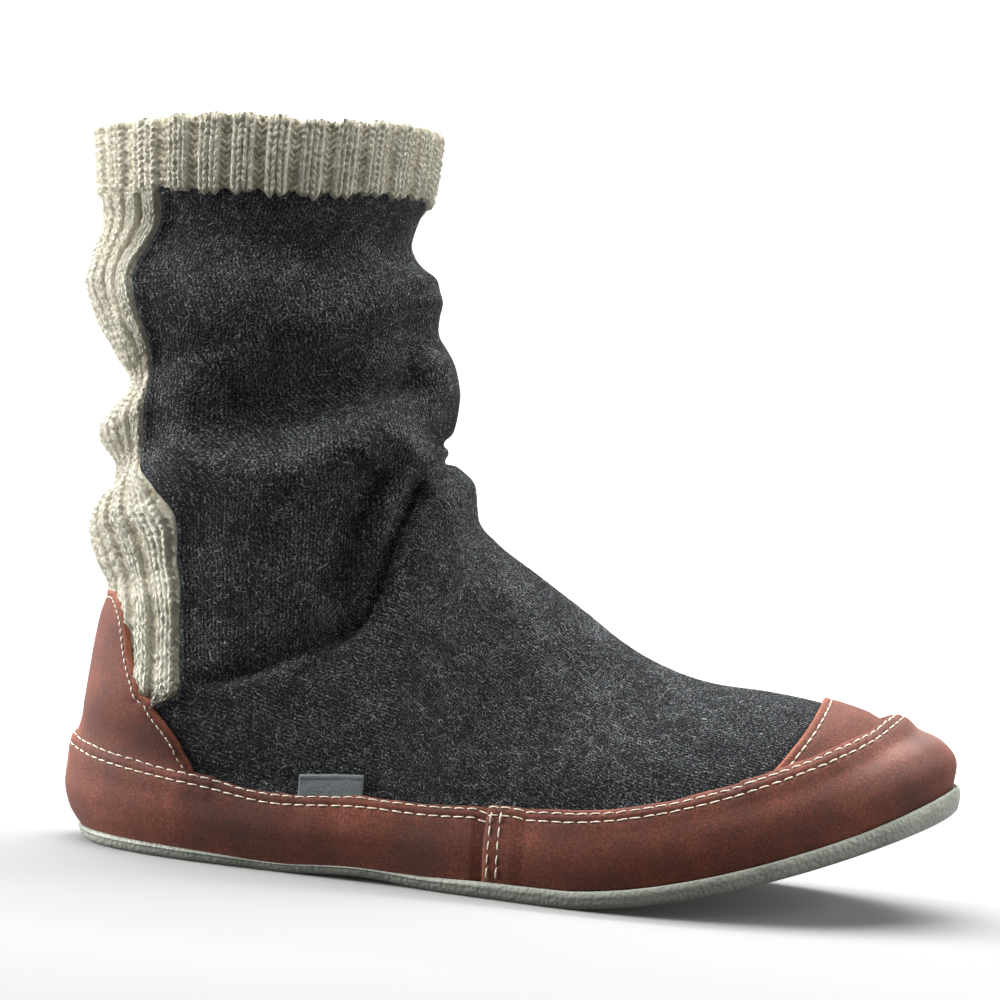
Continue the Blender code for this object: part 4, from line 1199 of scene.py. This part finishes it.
full, thin = GAP + RAND_WALL, GAP + LAP_WALL
raised = 2 * GAP + 2 * LAP_WALL
skive = SKIVE_LENGTH / LENGTH
rear_end = LAP_AT + LAP_LENGTH / LENGTH
rear_side = ((rear_end, thin), (LAP_AT, thin), (LAP_AT - skive, full))
front_side = ((LAP_AT, raised), (rear_end, raised), (rear_end + skive, full))
rands = []
for name, node, half, first in (
    ("rand_rear_suede", "rand_rear", rear_side, 1),
    ("rand_front_suede", "rand_front", front_side, -1),
):
    stops = [(at, first, out) for at, out in half] + [(at, -first, out) for at, out in half[::-1]]
    rands.append(build_rand(name, node, stops))

# %% [markdown]
# ## Stitches
# The seams are sewn with thick waxed cream thread. Each stitch is a short bead of thread that
# comes out of one hole, lies on the leather and goes into the next, so its two ends sink in. All
# stitches of a row are worked out at once and joined in one mesh.

# %% Thread
THREAD_RADIUS = 0.00023
THREAD_SUNK = 0.0002
BEAD_STEPS = 7
BEAD_SIDES = 6


def grained_finish(name, scale, detail, stops, strength, distance, **sockets):
    """A material whose colour and relief both come from one fine noise."""
    made, tree, shader = new_material(name, **sockets)
    place = add(tree, "TexCoord", output="Object")
    grain = add(tree, "TexNoise", Vector=place, Scale=scale, Detail=detail)
    colour = add(tree, "ValToRGB", grain, stops=stops)
    bump = add(tree, "Bump", Height=grain, Strength=strength, Distance=distance)
    finish_with(tree, shader, Base_Color=colour, Normal=bump)
    return made


thread = grained_finish(
    "waxed cream polyester thread", 2600.0, 1.0,
    ((0.3, "#aca089"), (0.55, "#dcd4c2"), (0.75, "#f2ecdf")), 0.4, 0.0003, Roughness=0.55)


def sew(name, rows, pitch, fill, seed):
    """Beads along each row: a ring of six points at each of seven places, lifted as a sine.

    A row is a path and its normals. A bead fills this share of the pitch.
    """
    t = np.linspace(0, 1, BEAD_STEPS)
    lift = THREAD_RADIUS * (1.6 * np.sin(np.pi * t) ** 0.6 - 0.7)
    radius = THREAD_RADIUS * (0.4 + 0.6 * np.sin(np.pi * t) ** 0.4)
    turn = (2 * np.pi * np.arange(BEAD_SIDES) / BEAD_SIDES)[:, None]
    rng = np.random.default_rng(seed)
    points = []
    for path, normal in rows:
        run = path_length(path)
        count = int(run[-1] / pitch)
        start = np.arange(count) + (1 - fill) / 2 + rng.uniform(-0.04, 0.04, count)
        s = (start[:, None] + t[None] * fill) * run[-1] / count
        at, out = (
            np.stack([np.interp(s, run, line[:, k]) for k in range(3)], axis=-1)
            for line in (path, normal))
        out = unit(out)
        beside = np.cross(unit(np.gradient(at, axis=1)), out)
        slant = rng.uniform(-0.00012, 0.00012, (count, 1, 1))
        slant = slant * np.linspace(-1, 1, BEAD_STEPS)[:, None]
        at = at + out * lift[:, None] + beside * slant
        ring = beside[:, :, None] * np.cos(turn) + out[:, :, None] * np.sin(turn)
        points.append((at[:, :, None] + ring * radius[:, None, None]).reshape(-1, 3))
    points = np.concatenate(points)
    one = np.arange(BEAD_STEPS * BEAD_SIDES).reshape(BEAD_STEPS, BEAD_SIDES)
    after = np.roll(one, -1, axis=1)
    quads = np.stack([one[:-1], one[1:], after[1:], after[:-1]], axis=-1).reshape(-1, 4)
    first, last = one[0], one[-1]
    ends = [first[[0, 1, 2, 3]], first[[0, 3, 4, 5]], last[[3, 2, 1, 0]], last[[5, 4, 3, 0]]]
    quads = np.concatenate([quads, ends])
    beads = np.arange(0, len(points), one.size)
    quads = (quads[None] + beads[:, None, None]).reshape(-1, 4)
    make_piece(name, points, [quads], thread, "suede")


def line_at_distance(grid, flat, normal, inset):
    """For each column of a grid, the point whose distance from the top edge is inset."""
    low = len(grid) - 1 - np.argmax(flat[::-1] > inset, axis=0)
    columns = np.arange(grid.shape[1])
    below, over = flat[low, columns], flat[low + 1, columns]
    t = ((below - inset) / (below - over))[:, None]
    return tuple(g[low, columns] * (1 - t) + g[low + 1, columns] * t for g in (grid, normal))


def seam_inside(way, v, out, inset):
    """The edge of a patch moved into it, within the surface, by inset, and the normals there."""
    line = skin(way, v, out - THREAD_SUNK)
    normal = outward(way, v)
    return line + np.cross(normal, unit(np.gradient(line, axis=0))) * inset, normal


sew("rand_stitches", [
    line_at_distance(grid, flat, normal, inset)
    for grid, flat, normal in rands for inset in RAND_INSETS
], STITCH_PITCH, 0.90, 31)

above_rand = counter_v > 3.95
sew("counter_stitches", [seam_inside(
    counter_way[above_rand], counter_v[above_rand], EDGE_GAP + SUEDE_WALL, COUNTER_INSET)],
    COUNTER_PITCH, 0.86, 32)

to_rear = np.linspace(0.97, 0, SEAM_STEPS) ** 2
rear = np.concatenate([to_rear, to_rear[::-1][1:]])
side = np.concatenate([np.full(SEAM_STEPS, 1.0), np.full(SEAM_STEPS - 1, -1.0)])
sew("cap_stitches", [seam_inside(*cap_place(rear, side), GAP + SUEDE_WALL, CAP_INSET)],
    CAP_PITCH, 0.88, 33)

# %% [markdown]
# At each side the front length of the rand laps over the rear one, and two short upright rows of
# stitches hold the lap.

# %% Side seams of the rand
SIDE_ROWS = (0.0016, 0.0045)

v = np.linspace(0.25, 3.85, 60)
rows = []
for side in (-1, 1):
    for shift in SIDE_ROWS:
        way = way_of(LAP_AT + shift / LENGTH, v)
        way = way if side < 0 else 1 - way
        rows.append((skin(way, v, raised + 0.0004), outward(way, v)))
sew("side_seam_stitches", rows, CAP_PITCH, 0.86, 34)

# %% [markdown]
# ## Rubber sole
# The cup sole is moulded grey-green rubber, thin at the heel and thicker at the toe, where its edge
# rises over the suede. Moulding leaves rounded edges and a fine pebbled side. Its rings follow the
# feather line seen from above.

# %% Sole
def moulded_rubber():
    made, tree, shader = new_material("moulded grey-green rubber", Specular_IOR_Level=0.4)
    place = add(tree, "TexCoord", output="Object")
    pebble = add(tree, "TexVoronoi", Vector=place, Scale=900.0, feature="SMOOTH_F1")
    cloud = add(tree, "TexNoise", Vector=place, Scale=70.0, Detail=3.0)
    colour = add(tree, "ValToRGB", cloud, stops=((0.3, "#71756b"), (0.7, "#8d9086")))
    rough = add(tree, "MapRange", pebble, To_Min=0.42, To_Max=0.62)
    bump = add(tree, "Bump", Height=pebble, Strength=0.6, Distance=0.0005)
    finish_with(tree, shader, Base_Color=colour, Roughness=rough, Normal=bump)
    return made


rubber = moulded_rubber()
LIP_WALL = 0.0012
LIP_MAX = 0.0042
EDGE_ROUND = 0.0027
SOLE_COLUMNS = 320


def plan_ring(out):
    """The feather line seen from above, moved outward along its own normal."""
    ring = last_form(np.arange(SOLE_COLUMNS) / SOLE_COLUMNS, np.zeros(SOLE_COLUMNS))[:, :2]
    along = unit(np.roll(ring, -1, axis=0) - np.roll(ring, 1, axis=0))
    beside = np.stack([along[:, 1], -along[:, 0]], axis=-1)
    return ring + beside * np.asarray(out)[..., None]


def stacked_body(rings):
    """Rings joined one above the other, with the first and last filled from side to side."""
    count = len(rings[0])
    half = count // 2
    index = np.arange(len(rings) * count).reshape(len(rings), count)
    i = np.arange(1, half - 1)
    quads, tips = [grid_quads(closed_round(index))], []
    for ring, turn in ((index[0], -1), (index[-1], 1)):
        strip = np.stack([ring[i], ring[i + 1], ring[count - i - 1], ring[count - i]], axis=-1)
        quads.append(strip[:, ::turn])
        tips.append(ring[[[0, 1, count - 1], [half, half + 1, half - 1]]][:, ::turn])
    return np.concatenate(rings), [np.concatenate(quads), np.concatenate(tips)]


def build_sole():
    at = share_of_length(plan_ring(0)[:, 0])
    widest = GAP + RAND_WALL + EDGE_GAP + 0.0009 * edge(at, "lip") + LIP_WALL
    widest = widest - 0.0016 * edge(at, "skirt")
    profile = [(inset, 0.0) for inset in (0.0108, 0.007, 0.0045)]
    for a in np.radians([0, 15, 30, 45, 60, 75, 90]):
        profile.append((EDGE_ROUND * (1 - np.sin(a)), EDGE_ROUND * (1 - np.cos(a))))
    rings = []
    for inset, height in profile:
        flat = plan_ring(widest - inset)
        rings.append(np.column_stack([flat, sole_bottom(flat[:, 0]) + height]))
    flat = plan_ring(widest)
    base = rings[-1][:, 2]
    lip = sole_top(flat[:, 0]) + LIP_MAX * edge(share_of_length(flat[:, 0]), "lip")
    for share in (0.2, 0.4, 0.6, 0.8, 0.93):
        swell = plan_ring(widest + 0.0003 * np.sin(np.pi * share))
        rings.append(np.column_stack([swell, base + (lip - 0.0005 - base) * share]))
    # the lip's rounded top, and then its inner side down to the upper face
    for inset, down in ((0.0001, 0.00025), (0.0004, 0.00005), (0.0008, 0.0), (0.0011, 0.0002)):
        rings.append(np.column_stack([plan_ring(widest - inset), lip - down]))
    for inset in (LIP_WALL, 0.006):
        flat = plan_ring(widest - inset)
        rings.append(np.column_stack([flat, sole_top(flat[:, 0])]))
    make_piece("sole_rubber", *stacked_body(rings), rubber, "rubber", ("outsole",))


build_sole()

# %% [markdown]
# ## Footbed
# Inside lies a soft footbed: foam under a brushed grey pile. It shows only from above, through
# the collar, so a crowned slab with a soft edge and a pile in its bump is enough.

# %% Footbed
FOOTBED_COLUMNS = 200
FOOTBED_HIGH = 0.0055
# (section number, inset, share of the height) of each ring
FOOTBED_RINGS = (
    (0.00, 0.0012, 0.00), (0.10, 0.0010, 0.12), (0.20, 0.0009, 0.30), (0.35, 0.0009, 0.55),
    (0.50, 0.0011, 0.80), (0.56, 0.0015, 0.92), (0.60, 0.0022, 1.00), (0.60, 0.0045, 1.05),
    (0.60, 0.0075, 1.00), (0.60, 0.0120, 0.93),
)


def build_footbed():
    way = np.arange(FOOTBED_COLUMNS) / FOOTBED_COLUMNS
    rings = []
    for number, inset, up in FOOTBED_RINGS:
        points = skin(way, number, -(KNIT_WALL + inset))
        points[:, 2] = sole_top(points[:, 0]) + GAP + up * FOOTBED_HIGH
        rings.append(points)
    pile = grained_finish("brushed grey pile on foam", 700.0, 4.0,
                          ((0.3, "#55565a"), (0.7, "#8b8c8e")), 0.8, 0.001,
                          Roughness=0.95, Sheen_Weight=0.3)
    return make_piece("footbed", *stacked_body(rings), pile, "footbed_fleece", ("insole",))


footbed = build_footbed()

# %% [markdown]
# ## Side tab
# A small grey woven tape is caught in the seam at the outer side. It is bare, with a fine twill
# and a folded top edge.

# %% Tab
TAB_AT = 0.342
TAB_LENGTH = 0.0195
TAB_HEIGHT = 0.0078
TAB_INNER = 0.0004
TAB_OUTER = 0.0013
TAB_GRID = (24, 40)


def woven_tape():
    made, tree, shader = new_material("grey woven tape", Roughness=0.8, Sheen_Weight=0.05)
    yarn = add(tree, "UVMap", uv_map="yarn")
    weft = add(tree, "TexWave", Vector=yarn, Scale=0.9, Distortion=1.2, Detail=2.0,
               bands_direction="DIAGONAL", output="Fac")
    speck = add(tree, "TexNoise", Vector=yarn, Scale=1.6, Detail=3.0, Roughness=0.7)
    tone = weighted_sum(tree, speck, (weft, 0.35))
    colour = add(tree, "ValToRGB", tone, stops=(
        (0.40, "#3b4143"), (0.66, "#5a6163"), (0.95, "#80888a")))
    bump = add(tree, "Bump", Height=tone, Strength=0.6, Distance=0.0004)
    finish_with(tree, shader, Base_Color=colour, Normal=bump)
    return made


def place_on_side(x, z, way, v):
    """Newton's steps to the place on the last, near a first guess, that has this x and z."""
    small = 1e-4
    for _ in range(12):
        here = last_form(way, v)
        by_way = (last_form(way + small, v) - here) / small
        by_v = (last_form(way, v + small) - here) / small
        need_x, need_z = x - here[..., 0], z - here[..., 2]
        size = by_way[..., 0] * by_v[..., 2] - by_v[..., 0] * by_way[..., 2]
        way = way + (need_x * by_v[..., 2] - by_v[..., 0] * need_z) / size
        v = v + (by_way[..., 0] * need_z - need_x * by_way[..., 2]) / size
    return way, v


def build_tab():
    half = TAB_LENGTH / LENGTH / 2
    foot = row("rand_top")
    guess = way_of(np.linspace(TAB_AT - half, TAB_AT + half, TAB_GRID[1]), foot)
    base = last_form(guess, foot)
    rise = np.linspace(EDGE_GAP, TAB_HEIGHT, TAB_GRID[0])[:, None]
    way, v = place_on_side(
        np.broadcast_to(base[:, 0], TAB_GRID), base[:, 2] + rise,
        np.broadcast_to(guess, TAB_GRID), np.full(TAB_GRID, foot + 1))
    along = np.linspace(0, 1, TAB_GRID[1])[None]
    share = (rise - EDGE_GAP) / (TAB_HEIGHT - EDGE_GAP)
    # it puffs a little, and its top edge is folded over
    puff = 0.0004 * np.sin(np.pi * np.clip(share, 0, 1)) + 0.0002 * (share > 0.86)
    bend = 0.0002 * np.sin(np.pi * along) + 0.0001 * soft_noise(along * 5, share * 4, 41)
    yarn = np.stack(np.broadcast_arrays(along * 19.5, share * 7.0), axis=-1)
    make_wall("tab_tape", skin(way, v, TAB_OUTER + puff + bend), skin(way, v, TAB_INNER),
              woven_tape(), "woven_tape", "side_tab", uv=yarn)


build_tab()

# %% [markdown]
# ## Loose fibres
# Wool sheds fine hairs that catch the light on the dark cloth and blur its outline. Each hair is a
# flat ribbon 0.04 to 0.1 mm wide that starts in the cloth, wanders with a random curl and
# ends in the cloth again. Particles would be an extra system, so the ribbons are one mesh.

# %% Fibres
def fibre_material(name, dark, light):
    made, tree, shader = new_material(name, Roughness=0.7, Specular_IOR_Level=0.3)
    pick = add(tree, "Attribute", attribute_name="pick", output="Fac")
    colour = add(tree, "ValToRGB", pick, stops=((0.0, dark), (1.0, light)))
    finish_with(tree, shader, Base_Color=colour)
    return made


FIBRE_STEPS = 4


def fuzz(name, grid, cells, count, length, lift, width, finish, slot, seed, closed=False):
    """Ribbons on a grid. A hair's heading turns steadily, and its height is a sine along it."""
    rng = np.random.default_rng(seed)
    if closed:
        grid = closed_round(grid)
    a = grid[:-1, 1:] - grid[:-1, :-1]
    b = grid[1:, :-1] - grid[:-1, :-1]
    area = np.linalg.norm(np.cross(a, b), axis=-1) * cells
    chosen = rng.choice(area.size, count, p=area.ravel() / area.sum())
    r, c = np.unravel_index(chosen, area.shape)
    a, b = a[r, c], b[r, c]
    s, t = rng.random((2, count, 1))
    start = grid[r, c] + a * s + b * t
    one, out = unit(a), unit(np.cross(a, b))
    two = np.cross(out, one)
    share = np.linspace(0, 1, FIBRE_STEPS)[None]

    def each(low, high):
        return rng.uniform(low, high, (count, 1))

    size = each(*length) * each(0.6, 1.0)
    heading = each(0, 2 * np.pi) + rng.normal(0, 1.6, (count, 1)) * share
    move = size / (FIBRE_STEPS - 1)
    x = np.cumsum(np.cos(heading) * move, axis=1) - np.cos(heading[:, :1]) * move
    y = np.cumsum(np.sin(heading) * move, axis=1) - np.sin(heading[:, :1]) * move
    rise = each(*lift) * np.sin(np.pi * (0.12 + 0.80 * share)) ** 1.2
    path = start[:, None] + one[:, None] * x[..., None] + two[:, None] * y[..., None]
    path = path + out[:, None] * rise[..., None]
    beside = two[:, None] * np.cos(heading)[..., None] - one[:, None] * np.sin(heading)[..., None]
    beside = unit(beside + out[:, None] * rng.normal(0, 0.6, (count, 1, 1)))
    thick = (each(*width) / 2 * (1 - 0.7 * share))[..., None]
    points = np.stack([path - beside * thick, path + beside * thick], axis=2).reshape(-1, 3)
    quads = grid_quads(np.arange(len(points)).reshape(count, FIBRE_STEPS, 2))
    pick = np.repeat(rng.random(count) ** 1.6, FIBRE_STEPS * 2)
    make_piece(name, points, [quads], finish, slot, values={"pick": pick})


grey_fibre = fibre_material("pale grey wool fibre", "#26282a", "#d4d6d5")
cream_fibre = fibre_material("cream wool fibre", "#8d8471", "#ded8c8")


def bare_cells(way, v):
    """Where the cloth is neither open nor under suede, from the corners' way and section number."""
    half = len(counter_v) // 2
    outline = np.abs(np.interp(v, counter_v[:half], counter_way[:half], right=0))
    around = np.abs(way - np.round(way))
    under_counter = (around < outline + 0.012) & (v < 20.2)
    under_cap = (np.abs(way - 0.5) < 0.15) & (v < row("cap_rear") + 0.25)
    return ~(under_counter | under_cap | (v < row("rand_top") + 0.4))


fuzz("charcoal_fibres", upper_grid, upper_cells & bare_cells(upper_way, upper_v)[:-1], 18000,
     (0.0010, 0.0045), (0.0002, 0.0010), (0.00004, 0.00008), grey_fibre, "charcoal_knit", 51,
     closed=True)
fuzz("panel_fibres", panel_grid, bare_cells(panel_way, panel_v)[:-1, :-1], 9000,
     (0.001, 0.004), (0.0002, 0.0008), (0.00005, 0.00010), cream_fibre, "cream_rib", 52)
fuzz("cuff_fibres", cuff_grid, 1, 13000, (0.001, 0.004), (0.0002, 0.0010),
     (0.00005, 0.00010), cream_fibre, "cream_rib", 53, closed=True)

# %% [markdown]
# ## Floor and light
# The shoe stands on a white sweep that curves up behind it, so no horizon shows. A wide soft light
# hangs overhead and a small one hangs behind the foot, which throws a little shadow forward and
# gives the toe its gloss. The brightest stands to the left of the heel and a weaker one to the
# right of the toe, and the last lights only the sweep. The floor is kept out of the bounced
# light, as black flags beside a shoe do in a studio, so the folds keep their shade.

# %% Stage
def build_sweep():
    angle = np.radians(np.linspace(0, 90, 25))
    y = np.concatenate([[-3.0, 1.6], 1.6 + 1.2 * np.sin(angle[1:]), [2.8]])
    z = np.concatenate([[0.0, 0.0], 1.2 * (1 - np.cos(angle[1:])), [4.0]])
    x = np.array([-5.0, 5.0])
    points = np.stack(np.broadcast_arrays(x[None], y[:, None], z[:, None]), axis=-1)
    index = np.arange(points[..., 0].size).reshape(len(y), 2)
    mesh = bpy.data.meshes.new("sweep")
    mesh.from_pydata(points.reshape(-1, 3).tolist(), [], grid_quads(index).tolist())
    mesh.shade_smooth()
    made = bpy.data.objects.new("sweep", mesh)
    finish, _, _ = new_material("matte pale paper", Base_Color=linear("#8a8a8a"), Roughness=0.95)
    mesh.materials.append(finish)
    bpy.context.scene.collection.objects.link(made)
    made.visible_diffuse = False


def area_light(name, place, aim, size, power):
    data = bpy.data.lights.new(name, "AREA")
    data.shape, data.size, data.size_y, data.energy = "RECTANGLE", size[0], size[1], power
    made = bpy.data.objects.new(name, data)
    back = unit(np.array(place, float) - np.array(aim, float))
    side = unit(np.cross(UPRIGHT, back))
    made.matrix_world = pose(side, np.cross(back, side), back, place)
    bpy.context.scene.collection.objects.link(made)


build_sweep()
area_light("overhead", (-0.25, -0.10, 1.25), (-0.08, 0, 0), (1.1, 0.9), 24)
area_light("behind", (0.28, 0.45, 1.15), (0.05, 0, 0), (0.8, 0.5), 12)
area_light("left", (-1.25, -0.15, 0.50), (0, 0, 0.12), (0.9, 0.9), 48)
area_light("right", (1.20, -0.12, 0.58), (0, 0, 0.12), (0.9, 0.9), 16)
area_light("backdrop", (0, 0.7, 1.7), (0, 2.6, 0.6), (2.5, 0.5), 340)
world = bpy.data.worlds.new("light tent")
world.use_nodes = True
tent = world.node_tree.nodes["Background"].inputs
tent["Color"].default_value, tent["Strength"].default_value = (1, 1, 1, 1), 0.18
bpy.context.scene.world = world
bpy.context.scene.view_settings.view_transform = "Standard"
